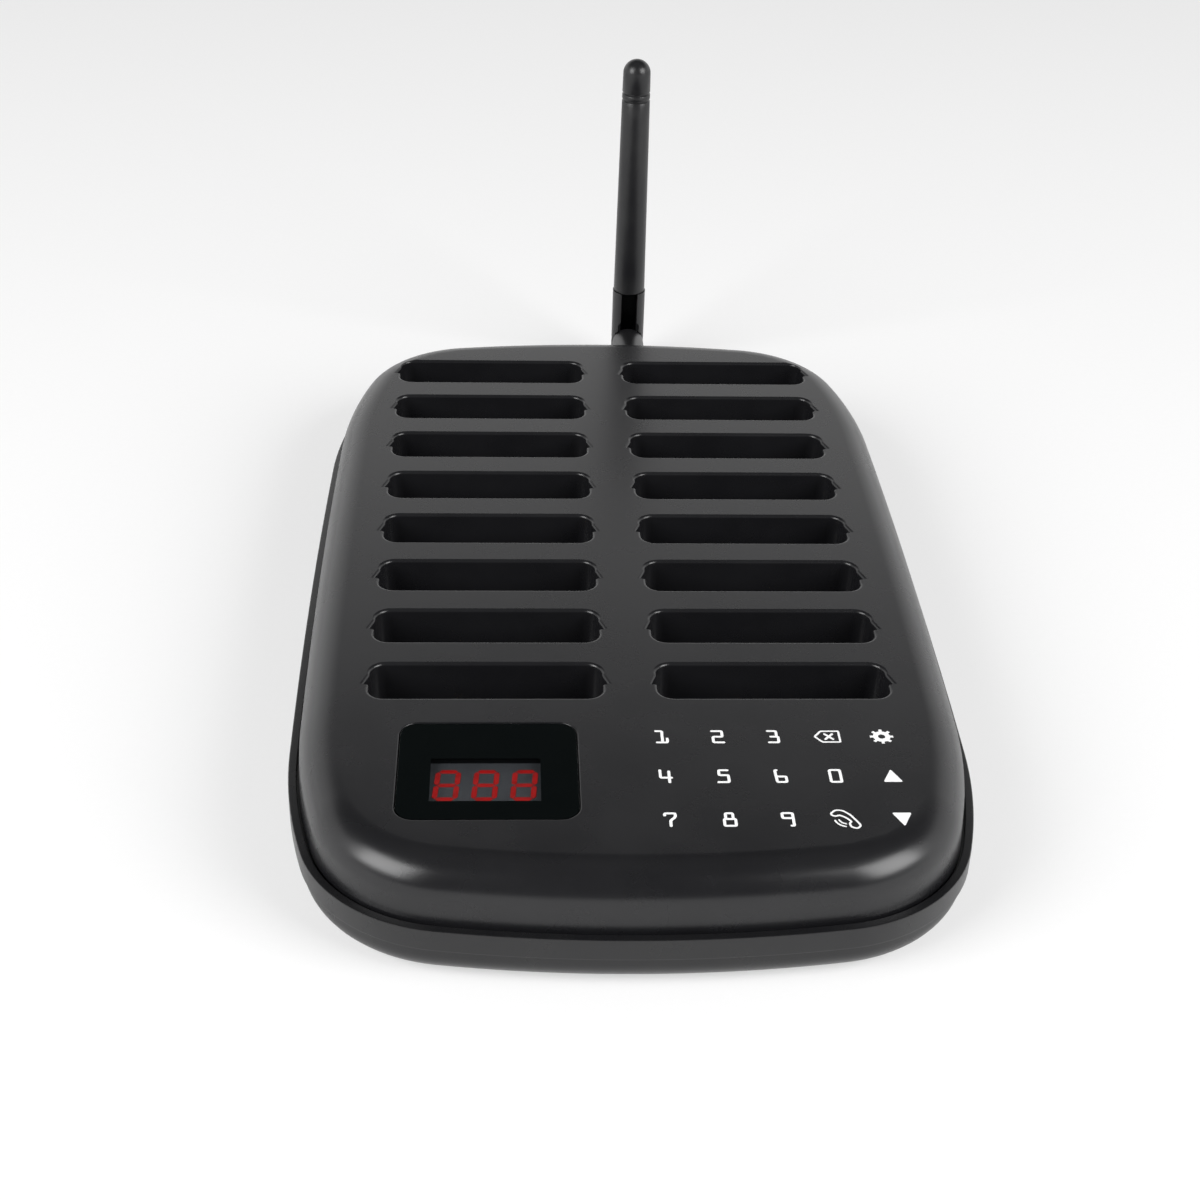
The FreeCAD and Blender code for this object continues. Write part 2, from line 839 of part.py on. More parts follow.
def ribbon_cable():
    # Down from the upper socket, back in a level run, and down into the lower socket
    z_top = main_board_z - ribbon_socket_height
    z_low = base_board_top_z + ribbon_socket_height
    z_run = (z_top + z_low) / 2
    half = ribbon_thickness / 2

    def side_line(shift):
        bend = ribbon_bend_r
        upper = bend - shift
        lower = bend + shift
        start = V(0, ribbon_top_y + shift, z_top)
        first = V(0, ribbon_top_y + shift, z_run + bend)
        first_mid = V(0, ribbon_top_y + bend - upper * math.cos(math.pi / 4), z_run + bend - upper * math.sin(math.pi / 4))
        second = V(0, ribbon_top_y + bend, z_run + shift)
        third = V(0, ribbon_bottom_y - bend, z_run + shift)
        third_mid = V(0, ribbon_bottom_y - bend + lower * math.sin(math.pi / 4), z_run - bend + lower * math.cos(math.pi / 4))
        fourth = V(0, ribbon_bottom_y + shift, z_run - bend)
        end = V(0, ribbon_bottom_y + shift, z_low)
        return [start, first, first_mid, second, third, third_mid, fourth, end]

    a = side_line(-half)
    b = side_line(half)
    edges = [
        Part.makeLine(a[0], a[1]), Part.Arc(a[1], a[2], a[3]).toShape(), Part.makeLine(a[3], a[4]),
        Part.Arc(a[4], a[5], a[6]).toShape(), Part.makeLine(a[6], a[7]), Part.makeLine(a[7], b[7]),
        Part.makeLine(b[7], b[6]), Part.Arc(b[6], b[5], b[4]).toShape(), Part.makeLine(b[4], b[3]),
        Part.Arc(b[3], b[2], b[1]).toShape(), Part.makeLine(b[1], b[0]), Part.makeLine(b[0], a[0]),
    ]
    strip = Part.Face(Part.Wire(edges)).extrude(V(ribbon_width, 0, 0))
    strip.translate(V(ribbon_x - ribbon_width / 2, 0, 0))
    return strip


# Base board and what it carries

def base_board():
    outer = box(-base_board_half_x, base_board_half_x, base_board_front_y, base_board_rear_y,
                base_board_z, base_board_top_z)
    inside = slab(case_inner_inset + board_edge_clearance, base_board_z, base_board_top_z)
    board = outer.common(inside)
    z0 = base_board_z - cut_overrun
    z1 = base_board_top_z + cut_overrun
    cuts = [prism(screw_flat_count, board_screw_r + board_hole_clearance, x, y, z0, z1) for x, y in base_post_places()]
    cuts.extend([prism(hidden_flat_count, post_r + board_edge_clearance, x, y, z0, z1) for x, y in case_post_places()])
    notch = socket_flange_width / 2 + board_edge_clearance
    notch_front = half_length - case_inner_inset - socket_flange_thickness - socket_ferrule_length
    cuts.append(box(antenna_x - notch, antenna_x + notch, notch_front, base_board_rear_y + cut_overrun, z0, z1))
    return board.cut(cuts)


def contact_blocks():
    blocks = []
    hx = contact_block_length / 2
    hy = contact_block_width / 2
    top = well_bottom_z - contact_block_gap
    for cx, cy in slot_centres():
        block = box(cx - hx, cx + hx, cy - hy, cy + hy, base_board_top_z, top)
        pocket = box(cx - hx + contact_block_rim, cx + hx - contact_block_rim,
                     cy - hy + contact_block_rim / 2, cy + hy - contact_block_rim / 2,
                     base_board_top_z + contact_block_floor, top + cut_overrun)
        blocks.append(block.cut(pocket))
    return Part.makeCompound(blocks)


def contact_pins(cx, cy):
    # Square spring contacts that stand up through the floor of a well
    half = pin_across / 2
    pins = [box(x - half, x + half, y - half, y + half, pin_tip_z - pin_length, pin_tip_z)
            for x, y in pin_places(cx, cy)]
    return Part.makeCompound(pins)


def power_capacitor():
    return prism(2 * hidden_flat_count, capacitor_r, capacitor_x, capacitor_y, base_board_top_z,
                 base_board_top_z + capacitor_height)


# Power inlet and switch

def jack_axis():
    return base_board_top_z + jack_axis_height


def jack_face_y():
    return half_length - jack_face_recess


def power_jack():
    half = jack_width / 2
    face = jack_face_y()
    body = box(jack_x - half, jack_x + half, face - jack_depth, face, base_board_top_z, base_board_top_z + jack_height)
    bore = rod_y(jack_bore_r, jack_x, face - jack_bore_depth, face + cut_overrun, jack_axis())
    return body.cut(bore)


def jack_pin():
    face = jack_face_y()
    return prism_y(hidden_flat_count, jack_pin_r, jack_x, face - jack_bore_depth, face - jack_pin_recess, jack_axis())


def slider_z():
    return base_board_top_z + slider_axis_height


def switch_face_y():
    return half_length - case_inner_inset - switch_wall_gap - switch_sag()


def switch_sag():
    # The rear wall bows forward away from the middle
    return end_arc_r - math.sqrt(end_arc_r ** 2 - (abs(switch_x) + switch_width / 2) ** 2)


def slider_port():
    half_x = (slider_width + slider_travel) / 2 + slider_clearance
    half_z = slider_height / 2 + slider_clearance
    return box(switch_x - half_x, switch_x + half_x, switch_face_y(), half_length + cut_overrun,
               slider_z() - half_z, slider_z() + half_z)


def power_switch():
    half = switch_width / 2
    face = switch_face_y()
    body = box(switch_x - half, switch_x + half, face - switch_depth, face,
               base_board_top_z, base_board_top_z + switch_height)
    half_x = (slider_width + slider_travel) / 2 + slider_clearance
    half_z = slider_height / 2 + slider_clearance
    track = box(switch_x - half_x, switch_x + half_x, face - slider_root - slider_clearance, face + cut_overrun,
                slider_z() - half_z, slider_z() + half_z)
    return body.cut(track)


def power_slider():
    # At rest the slider stands at the left end of its travel
    x = switch_x - slider_travel / 2
    half = slider_width / 2
    root = switch_face_y() - slider_root
    outer = half_length + slider_reach - switch_sag()
    return box(x - half, x + half, root, outer, slider_z() - slider_height / 2, slider_z() + slider_height / 2)


# Radio section

def radio_board():
    hx = radio_length / 2
    hy = radio_width / 2
    return box(radio_x - hx, radio_x + hx, radio_y - hy, radio_y + hy,
               base_board_top_z, base_board_top_z + radio_board_thickness)


def shield_box():
    hx = radio_length / 2 - shield_margin
    hy = radio_width / 2 - shield_margin
    z = base_board_top_z + radio_board_thickness
    return radio_x - hx, radio_x + hx, radio_y - hy, radio_y + hy, z, z + shield_height


def radio_shield():
    return box(*shield_box())


def antenna_lead():
    # Forward out of the socket, a quarter bend to the right, and on to the radio shield
    end_y = ferrule_end_y()
    run_y = end_y - lead_bend_r
    start = V(antenna_x, end_y, antenna_axis_z)
    turn_end = V(antenna_x + lead_bend_r, run_y, antenna_axis_z)
    finish = V(shield_box()[0], run_y, antenna_axis_z)
    corners = []
    for i in range(lead_flat_count):
        angle = 2 * math.pi * i / lead_flat_count
        corners.append(start + V(lead_r * math.cos(angle), 0, lead_r * math.sin(angle)))
    section = Part.Face(chain(corners))
    turn_centre = V(antenna_x + lead_bend_r, end_y, antenna_axis_z)
    bend = section.revolve(turn_centre, V(0, 0, 1), 90)
    run_face = section.copy()
    run_face.rotate(turn_centre, V(0, 0, 1), 90)
    run = run_face.extrude(V(finish.x - turn_end.x, 0, 0))
    return fused([bend, run])


# Antenna socket

def prism_y(flats, radius, x, y0, y1, z):
    # A level rod with flats, radius measured to its corners
    points = []
    for i in range(flats):
        angle = 2 * math.pi * i / flats
        points.append(V(x + radius * math.cos(angle), y0, z + radius * math.sin(angle)))
    return Part.Face(chain(points)).extrude(V(0, y1 - y0, 0))


def hexagon_y(across, x, y0, y1, z):
    return prism_y(hexagon_flat_count, across / 2 / math.cos(math.pi / hexagon_flat_count), x, y0, y1, z)


def inner_wall_y():
    # Inner face of the rear wall where the socket passes it
    far_x = antenna_x + socket_flange_width / 2
    radius = end_arc_r - case_inner_inset
    return half_length - end_arc_r + math.sqrt(radius ** 2 - far_x ** 2)


def ferrule_end_y():
    return inner_wall_y() - socket_flange_thickness - socket_ferrule_length


def antenna_socket():
    inner = inner_wall_y()
    half_x = socket_flange_width / 2
    half_z = socket_flange_height / 2
    flange = box(antenna_x - half_x, antenna_x + half_x, inner - socket_flange_thickness, inner,
                 antenna_axis_z - half_z, antenna_axis_z + half_z)
    ferrule = prism_y(hidden_flat_count, socket_ferrule_r, antenna_x, ferrule_end_y(), inner - socket_flange_thickness,
                      antenna_axis_z)
    thread = rod_y(socket_thread_r, antenna_x, inner, inner + socket_thread_length, antenna_axis_z)
    return fused([flange, ferrule, thread])


def socket_nut():
    y0 = pad_y
    y1 = y0 + socket_nut_thickness
    nut = hexagon_y(socket_nut_across, antenna_x, y0, y1, antenna_axis_z)
    return nut.cut(rod_y(socket_thread_r + coupling_fit, antenna_x, y0 - cut_overrun, y1 + cut_overrun,
                         antenna_axis_z))


# Antenna: barrel on the socket, mast on the barrel

def barrel_front_y():
    return pad_y + socket_nut_thickness + barrel_gap


def coupling_r():
    return barrel_r - barrel_wall


def coupling_nut():
    y0 = barrel_front_y()
    ring = prism_y(coupling_flat_count, coupling_r() - coupling_moulding_gap, antenna_x, y0, y0 + coupling_length,
                   antenna_axis_z)
    bore = rod_y(socket_thread_r + coupling_fit, antenna_x, y0 - cut_overrun, y0 + coupling_length + cut_overrun,
                 antenna_axis_z)
    return ring.cut(bore)


def antenna_barrel():
    front = barrel_front_y()
    body = rod_y(barrel_r, antenna_x, front, shoulder_y, antenna_axis_z)
    half = tongue_thickness / 2
    plate = box(antenna_x - half, antenna_x + half, shoulder_y - tongue_root, mast_y,
                antenna_axis_z - tongue_r, antenna_axis_z + tongue_r)
    end = Part.makeCylinder(tongue_r, tongue_thickness, V(antenna_x - half, mast_y, antenna_axis_z), V(1, 0, 0))
    body = fused([body, plate, end])
    socket = prism_y(coupling_flat_count, coupling_r(), antenna_x, front - cut_overrun, front + coupling_length,
                     antenna_axis_z)
    pivot = Part.makeCylinder(pivot_r + pivot_fit, tongue_thickness + 2 * cut_overrun,
                              V(antenna_x - half - cut_overrun, mast_y, antenna_axis_z), V(1, 0, 0))
    return body.cut([socket, pivot])


def antenna_fork():
    slot_half = tongue_thickness / 2 + fork_slot_clearance
    foot_z = antenna_axis_z - fork_end_r
    outer = rod(fork_base_r, antenna_x, mast_y, foot_z, mast_seam_z)
    # The front below the arch is cut away so that the barrel can reach the pivot
    arch = rod_y(barrel_r + fork_arch_clearance, antenna_x, mast_y - 2 * fork_base_r, mast_y - fork_end_r,
                 antenna_axis_z)
    front = box(antenna_x - fork_base_r, antenna_x + fork_base_r, mast_y - 2 * fork_base_r, mast_y - fork_end_r,
                foot_z - cut_overrun, antenna_axis_z)
    quarter_block = box(antenna_x - fork_base_r, antenna_x + fork_base_r, mast_y - fork_end_r - cut_overrun, mast_y,
                        foot_z - cut_overrun, antenna_axis_z)
    quarter_keep = Part.makeCylinder(fork_end_r, 2 * fork_base_r, V(antenna_x - fork_base_r, mast_y, antenna_axis_z),
                                     V(1, 0, 0))
    knee = quarter_block.cut(quarter_keep)
    slot = box(antenna_x - slot_half, antenna_x + slot_half, mast_y - 2 * fork_base_r,
               mast_y + mast_seam_r - fork_rear_wall, foot_z - cut_overrun, mast_seam_z + cut_overrun)
    hood_half = hood_width / 2
    arch_top = antenna_axis_z + barrel_r + fork_arch_clearance
    hood_points = [V(antenna_x - hood_half, 0, antenna_axis_z), V(antenna_x + hood_half, 0, antenna_axis_z),
                   V(antenna_x + hood_half, 0, arch_top + hood_rise / 2),
                   V(antenna_x + slot_half, 0, arch_top + hood_rise),
                   V(antenna_x - slot_half, 0, arch_top + hood_rise),
                   V(antenna_x - hood_half, 0, arch_top + hood_rise / 2)]
    hood = Part.Face(chain(hood_points)).extrude(V(0, 2 * fork_base_r - fork_end_r, 0))
    hood.translate(V(0, mast_y - 2 * fork_base_r, 0))
    pivot = Part.makeCylinder(pivot_r + pivot_press, 4 * fork_base_r,
                              V(antenna_x - 2 * fork_base_r, mast_y, antenna_axis_z), V(1, 0, 0))
    fork = outer.cut([arch, front, knee, slot, hood, pivot])
    spigot = prism(hidden_flat_count, mast_bore_r() - spigot_gap, antenna_x, mast_y, mast_seam_z,
                   mast_seam_z + spigot_length)
    return fused([fork, spigot])


def pivot_pin():
    half = pivot_length / 2
    return Part.makeCylinder(pivot_r, pivot_length, V(antenna_x - half, mast_y, antenna_axis_z), V(1, 0, 0))


def mast_radius(z):
    return mast_seam_r + (mast_tip_r - mast_seam_r) * (z - mast_seam_z) / (mast_tip_z - mast_seam_z)


def mast_bore_r():
    # One bore all the way up, with the full wall left at the tip
    return mast_tip_r - mast_wall


def mast_sleeve():
    # A slim tapered tube, closed by a round tip, with two ring grooves near the top
    tip_centre_z = mast_tip_z - mast_tip_r
    seam = V(mast_seam_r, 0, mast_seam_z)
    lower_groove_z = ring_groove_first_z - ring_groove_pitch
    half = ring_groove_width / 2
    taper_end = V(mast_radius(lower_groove_z - half), 0, lower_groove_z - half)
    taper_middle = (seam + taper_end) / 2 - V(mast_hollow, 0, 0)
    corners = [taper_end]
    for z in (lower_groove_z, ring_groove_first_z):
        corners.append(V(mast_radius(z) - ring_groove_depth, 0, z))
        corners.append(V(mast_radius(z + half), 0, z + half))
        if z < ring_groove_first_z:
            corners.append(V(mast_radius(ring_groove_first_z - half), 0, ring_groove_first_z - half))
    for i in range(mast_dome_steps + 1):
        angle = i * math.pi / 2 / mast_dome_steps
        corners.append(V(mast_tip_r * math.cos(angle), 0, tip_centre_z + mast_tip_r * math.sin(angle)))
    corners[-1].x = 0
    edges = [Part.makeLine(V(0, 0, mast_seam_z), seam), Part.Arc(seam, taper_middle, taper_end).toShape()]
    edges.extend([Part.makeLine(a, b) for a, b in zip(corners, corners[1:])])
    edges.append(Part.makeLine(corners[-1], V(0, 0, mast_seam_z)))
    tube = Part.Face(Part.Wire(edges)).revolve(V(0, 0, 0), V(0, 0, 1), 360)
    tube.translate(V(antenna_x, mast_y, 0))
    return tube.cut(prism(hidden_flat_count, mast_bore_r(), antenna_x, mast_y, mast_seam_z - cut_overrun,
                          tip_centre_z - mast_wall))


def antenna_radiator():
    base = mast_seam_z + spigot_length
    length = min(radiator_length, room_above(base))
    thin = prism(hidden_flat_count, radiator_r, antenna_x, mast_y, base, base + length)
    thick = prism(hidden_flat_count, radiator_sleeve_r, antenna_x, mast_y, base, base + radiator_sleeve_length)
    return fused([thick, thin])


def room_above(z):
    return mast_tip_z - mast_tip_r - 2 * mast_wall - z


# The object

def build():
    pieces = {
        "top_cover": top_cover(),
        "bottom_case": bottom_case(),
        "rubber_feet": rubber_feet(),
        "case_screws": case_screws(),
        "display_window": display_window(),
        "window_adhesive": window_adhesive(),
        "display_module": display_module(),
        "display_segments": display_segments(),
        "touch_pads": touch_pads(),
        "key_board": key_board(),
        "main_board": main_board(),
        "main_board_screws": main_board_screws(),
        "board_header": board_header(),
        "control_chip": control_chip(),
        "crystal": crystal(),
        "buzzer": buzzer(),
        "ribbon_sockets": ribbon_sockets(),
        "ribbon_cable": ribbon_cable(),
        "base_board": base_board(),
        "base_board_screws": base_board_screws(),
        "contact_blocks": contact_blocks(),
        "power_capacitor": power_capacitor(),
        "power_jack": power_jack(),
        "jack_pin": jack_pin(),
        "power_switch": power_switch(),
        "power_slider": power_slider(),
        "radio_board": radio_board(),
        "radio_shield": radio_shield(),
        "antenna_lead": antenna_lead(),
        "antenna_socket": antenna_socket(),
        "socket_nut": socket_nut(),
        "coupling_nut": coupling_nut(),
        "antenna_barrel": antenna_barrel(),
        "pivot_pin": pivot_pin(),
        "antenna_fork": antenna_fork(),
        "mast_sleeve": mast_sleeve(),
        "antenna_radiator": antenna_radiator(),
    }
    for number, (cx, cy) in enumerate(slot_centres(), start=1):
        pieces["contact_pins_%02d" % number] = contact_pins(cx, cy)
    return pieces


os.makedirs("parts", exist_ok=True)
for name, shape in build().items():
    shape.translate(centre_shift)
    shape.exportStep(os.path.join("parts", name + ".step"))
    print(name, "solids", len(shape.Solids), "volume", round(shape.Volume, 2), "valid", shape.isValid())
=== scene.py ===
import bpy
import bmesh
import math
from mathutils import Matrix, Vector
from mathutils.geometry import delaunay_2d_cdt


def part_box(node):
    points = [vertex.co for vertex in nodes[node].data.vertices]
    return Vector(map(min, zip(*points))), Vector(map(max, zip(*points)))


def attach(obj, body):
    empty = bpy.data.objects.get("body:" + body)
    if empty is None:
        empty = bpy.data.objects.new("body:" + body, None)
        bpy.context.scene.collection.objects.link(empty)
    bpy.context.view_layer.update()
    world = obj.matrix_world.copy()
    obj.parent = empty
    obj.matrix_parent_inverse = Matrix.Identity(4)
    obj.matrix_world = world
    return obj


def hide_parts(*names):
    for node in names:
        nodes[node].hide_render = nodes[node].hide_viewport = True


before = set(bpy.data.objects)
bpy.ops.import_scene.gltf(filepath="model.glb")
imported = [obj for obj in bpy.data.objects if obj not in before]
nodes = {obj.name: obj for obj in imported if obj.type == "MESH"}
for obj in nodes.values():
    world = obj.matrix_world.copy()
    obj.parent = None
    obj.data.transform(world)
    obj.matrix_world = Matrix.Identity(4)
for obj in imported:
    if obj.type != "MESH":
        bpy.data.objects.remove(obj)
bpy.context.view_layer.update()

# Lengths below are in millimetres from the middle of the case, with the table at z = 0
mm = 0.001
caseLow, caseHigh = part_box("bottom_case")
caseMidY = (caseLow.y + caseHigh.y) / 2


def spot(x, y, z):
    return Vector((x * mm, y * mm + caseMidY, z * mm))


print("frame loaded:", len(nodes), "nodes")

# Finishes


def toLinear(hexColour):
    # sRGB hex to the linear values that shaders take
    values = [int(hexColour[i:i + 2], 16) / 255 for i in (1, 3, 5)]
    return [v / 12.92 if v <= 0.04045 else ((v + 0.055) / 1.055) ** 2.4 for v in values] + [1.0]


def addNode(tree, kind, settings=None, links=None):
    # A setting goes to the socket of that name or number, else to the node's own property
    node = tree.nodes.new(kind)
    for key, value in (settings or {}).items():
        if isinstance(key, int) or key in node.inputs:
            node.inputs[key].default_value = value
        else:
            setattr(node, key, value)
    for key, source in (links or {}).items():
        tree.links.new(source, node.inputs[key])
    return node


# colours: darker and lighter tone; mottleMm: size of the tone patches; grainMm and grainHigh: surface grain
finishes = {
    # ABS from a spark-eroded mould: dark grey, satin, a sandy grain that breaks up highlights
    "sparkTexturedAbs": {"colours": ("#161618", "#1a1a1c"), "mottleMm": 18,
                         "grainMm": 0.34, "grainHigh": 0.006, "roughness": (0.25, 0.30), "ior": 1.5},
    # The same ABS in the lower half, from a mould with a slightly coarser spark
    "sparkTexturedAbsCase": {"colours": ("#161618", "#1b1b1c"), "mottleMm": 15,
                             "grainMm": 0.38, "grainHigh": 0.0035, "roughness": (0.24, 0.30), "ior": 1.5},
    # Polyurethane antenna moulding: satin, slightly waxy, with a fine bloom
    "mouldedPolyurethane": {"colours": ("#18181a", "#1f1f20"), "mottleMm": 9,
                            "grainMm": 0.25, "grainHigh": 0.003, "roughness": (0.30, 0.38), "ior": 1.49},
    # Compression moulded nitrile rubber: matt, dusty black
    "mouldedRubber": {"colours": ("#121212", "#1c1c1b"), "mottleMm": 3, "grainMm": 0.3, "grainHigh": 0.01,
                      "roughness": (0.72, 0.85), "ior": 1.52},
    # Zinc plated steel: bluish grey with cloudy patches from the bath
    "zincPlatedSteel": {"colours": ("#9da2a6", "#c3c6c6"), "mottleMm": 1.6,
                        "grainMm": 0.2, "grainHigh": 0.002, "roughness": (0.22, 0.4), "metallic": 1.0},
    # Nickel plated brass: warm grey, a little brighter than zinc
    "nickelPlatedBrass": {"colours": ("#a9a497", "#cfc9b8"), "mottleMm": 1.2,
                          "grainMm": 0.15, "grainHigh": 0.002, "roughness": (0.16, 0.28), "metallic": 1.0},
    # Gold flash on sprung contacts: pale gold, polished in patches
    "goldFlash": {"colours": ("#c9a24a", "#e6c772"), "mottleMm": 0.6, "grainMm": 0.1, "grainHigh": 0.001,
                  "roughness": (0.14, 0.26), "metallic": 1.0},
    # Closed-cell foam tape: matt black with tiny cells
    "foamTape": {"colours": ("#0d0d0e", "#171718"), "mottleMm": 1.2, "grainMm": 0.25, "grainHigh": 0.02,
                 "roughness": (0.8, 0.95), "ior": 1.45},
    # Light box moulding with a grey printed face
    "greyPrintedFace": {"colours": ("#5a5d62", "#606368"), "mottleMm": 6, "grainMm": 0.2, "grainHigh": 0.002,
                        "roughness": (0.5, 0.6), "ior": 1.5},
    # Black ink printed just under the window's clear skin: even, dead flat
    "backPrintedInk": {"colours": ("#060b0b", "#080d0d"), "mottleMm": 8, "grainMm": 0.2, "grainHigh": 0.001,
                       "roughness": (0.45, 0.55), "ior": 1.08},
    # Conductive foam pads of the touch keys
    "conductiveFoam": {"colours": ("#242426", "#363638"), "mottleMm": 1, "grainMm": 0.4, "grainHigh": 0.03,
                       "roughness": (0.8, 0.95), "ior": 1.45},
    # Glass-fibre board under green solder mask: the weave shows faintly through the lacquer
    "solderMaskedBoard": {"colours": ("#0f4527", "#175c35"), "mottleMm": 2.4,
                          "grainMm": 0.5, "grainHigh": 0.006, "roughness": (0.28, 0.4), "ior": 1.52},
    # Glass-filled nylon connectors: black, dull, flow marks
    "mouldedNylon": {"colours": ("#141416", "#1f1f22"), "mottleMm": 2, "grainMm": 0.2, "grainHigh": 0.005,
                     "roughness": (0.5, 0.65), "ior": 1.53},
    # Epoxy of a moulded chip: dark, sandy
    "mouldedEpoxy": {"colours": ("#151517", "#202024"), "mottleMm": 1, "grainMm": 0.12, "grainHigh": 0.004,
                     "roughness": (0.55, 0.7), "ior": 1.55},
    # Tinned steel cans: soft white metal, smeared shine
    "tinnedSteel": {"colours": ("#b9b9b4", "#d6d6d0"), "mottleMm": 2.5, "grainMm": 0.3, "grainHigh": 0.002,
                    "roughness": (0.2, 0.36), "metallic": 1.0},
    # Grey PVC ribbon: ribbed along its wires, slightly shiny
    "ribbonPvc": {"colours": ("#84868a", "#9a9ca0"), "mottleMm": 4, "grainMm": 1.27, "grainHigh": 0.12,
                  "roughness": (0.4, 0.5), "ior": 1.53, "ribs": True},
    # Jacket of the coaxial lead: extruded FEP, brown-grey and slick
    "extrudedJacket": {"colours": ("#3a322c", "#483e36"), "mottleMm": 4, "grainMm": 0.2, "grainHigh": 0.002,
                       "roughness": (0.25, 0.35), "ior": 1.35},
    # Heat-shrunk sleeve on the capacitor: glossy blue-black
    "shrunkSleeve": {"colours": ("#111a38", "#182347"), "mottleMm": 3, "grainMm": 0.5, "grainHigh": 0.004,
                     "roughness": (0.2, 0.3), "ior": 1.5},
    # Drawn copper rod: fine grain, browner where it is tarnished
    "drawnCopper": {"colours": ("#9a5f3f", "#c07b54"), "mottleMm": 2, "grainMm": 0.15, "grainHigh": 0.002,
                    "roughness": (0.25, 0.4), "metallic": 1.0},
    # White screen-printing ink: opaque, matt, a little uneven in thickness
    "screenPrintedInk": {"colours": ("#f1f2f2", "#ffffff"), "mottleMm": 1.2,
                         "grainMm": 0.15, "grainHigh": 0.002, "roughness": (0.55, 0.7), "ior": 1.5},
}


def newMaterial(name):
    material = bpy.data.materials.new(name)
    material.use_nodes = True
    material.node_tree.nodes.clear()
    return material, material.node_tree


def makeFinish(name, plan):
    material, tree = newMaterial(name)
    coords = addNode(tree, "ShaderNodeTexCoord")
    place = coords.outputs["Object"]
    patches = addNode(tree, "ShaderNodeTexNoise",
                      {"Scale": 1000 / plan["mottleMm"], "Detail": 4.0, "Roughness": 0.6}, {"Vector": place})
    tone = addNode(tree, "ShaderNodeValToRGB", {}, {"Fac": patches.outputs["Fac"]})
    for stop, position, colour in zip(tone.color_ramp.elements, (0.35, 0.65), plan["colours"]):
        stop.position = position
        stop.color = toLinear(colour)
    low, high = plan["roughness"]
    sheen = addNode(tree, "ShaderNodeMapRange", {"To Min": low, "To Max": high},
                    {"Value": patches.outputs["Fac"]})
    if plan.get("ribs"):
        grain = addNode(tree, "ShaderNodeTexWave", {"Scale": 1000 / plan["grainMm"] / 20, "Distortion": 0.0},
                        {"Vector": place}).outputs["Fac"]
    else:
        grain = addNode(tree, "ShaderNodeTexNoise",
                        {"Scale": 1000 / plan["grainMm"], "Detail": 2.0, "Roughness": 0.55},
                        {"Vector": place}).outputs["Fac"]
    bump = addNode(tree, "ShaderNodeBump", {"Strength": 1.0, "Distance": plan["grainHigh"] * mm},
                   {"Height": grain})
    settings = {"Metallic": plan.get("metallic", 0.0)}
    if not plan.get("metallic"):
        settings["IOR"] = plan["ior"]
    shader = addNode(tree, "ShaderNodeBsdfPrincipled", settings,
                     {"Base Color": tone.outputs["Color"], "Roughness": sheen.outputs["Result"],
                      "Normal": bump.outputs["Normal"]})
    addNode(tree, "ShaderNodeOutputMaterial", {}, {"Surface": shader.outputs["BSDF"]})
    material.diffuse_color = toLinear(plan["colours"][1])
    return material


materials = {name: makeFinish(name, plan) for name, plan in finishes.items()}

# Polished smoked acrylic: dark, clear enough for the lit digits, its polish faintly clouded
smokedAcrylic = {"colour": "#07090a", "alpha": 0.25, "roughness": (0.03, 0.06), "ior": 1.49, "cloudMm": 14}


def makeSmokedAcrylic(plan):
    material, tree = newMaterial("smokedAcrylic")
    coords = addNode(tree, "ShaderNodeTexCoord")
    cloud = addNode(tree, "ShaderNodeTexNoise", {"Scale": 1000 / plan["cloudMm"], "Detail": 5.0},
                    {"Vector": coords.outputs["Object"]})
    low, high = plan["roughness"]
    polish = addNode(tree, "ShaderNodeMapRange", {"To Min": low, "To Max": high},
                     {"Value": cloud.outputs["Fac"]})
    settings = {"Base Color": toLinear(plan["colour"]), "IOR": plan["ior"], "Alpha": plan["alpha"]}
    shader = addNode(tree, "ShaderNodeBsdfPrincipled", settings, {"Roughness": polish.outputs["Result"]})
    addNode(tree, "ShaderNodeOutputMaterial", {}, {"Surface": shader.outputs["BSDF"]})
    return material


# Red tinted epoxy bars, lit from behind: a glow with slightly dimmer patches
litEpoxy = {"body": "#5e0b0b", "dim": "#981313", "bright": "#b41212", "glow": 1.0, "patchMm": 2.6}


def makeLitEpoxy(plan):
    material, tree = newMaterial("litEpoxy")
    coords = addNode(tree, "ShaderNodeTexCoord")
    patches = addNode(tree, "ShaderNodeTexNoise", {"Scale": 1000 / plan["patchMm"], "Detail": 2.0},
                      {"Vector": coords.outputs["Object"]})
    tone = addNode(tree, "ShaderNodeValToRGB", {}, {"Fac": patches.outputs["Fac"]})
    for stop, position, colour in zip(tone.color_ramp.elements, (0.3, 0.6), (plan["dim"], plan["bright"])):
        stop.position = position
        stop.color = toLinear(colour)
    settings = {"Base Color": toLinear(plan["body"]), "Roughness": 0.35, "Emission Strength": plan["glow"]}
    shader = addNode(tree, "ShaderNodeBsdfPrincipled", settings, {"Emission Color": tone.outputs["Color"]})
    addNode(tree, "ShaderNodeOutputMaterial", {}, {"Surface": shader.outputs["BSDF"]})
    return material


materials["smokedAcrylic"] = makeSmokedAcrylic(smokedAcrylic)
materials["litEpoxy"] = makeLitEpoxy(litEpoxy)
print("finishes made:", len(materials))

# Mesh helpers


def addRing(bm, points, z):
    return [bm.verts.new(spot(x, y, z)) for x, y in points]


def joinRings(bm, lower, upper):
    count = len(lower)
    for i in range(count):
        j = (i + 1) % count
        bm.faces.new((lower[i], lower[j], upper[j], upper[i]))


def joinStack(bm, rings):
    for lower, upper in zip(rings, rings[1:]):
        joinRings(bm, lower, upper)


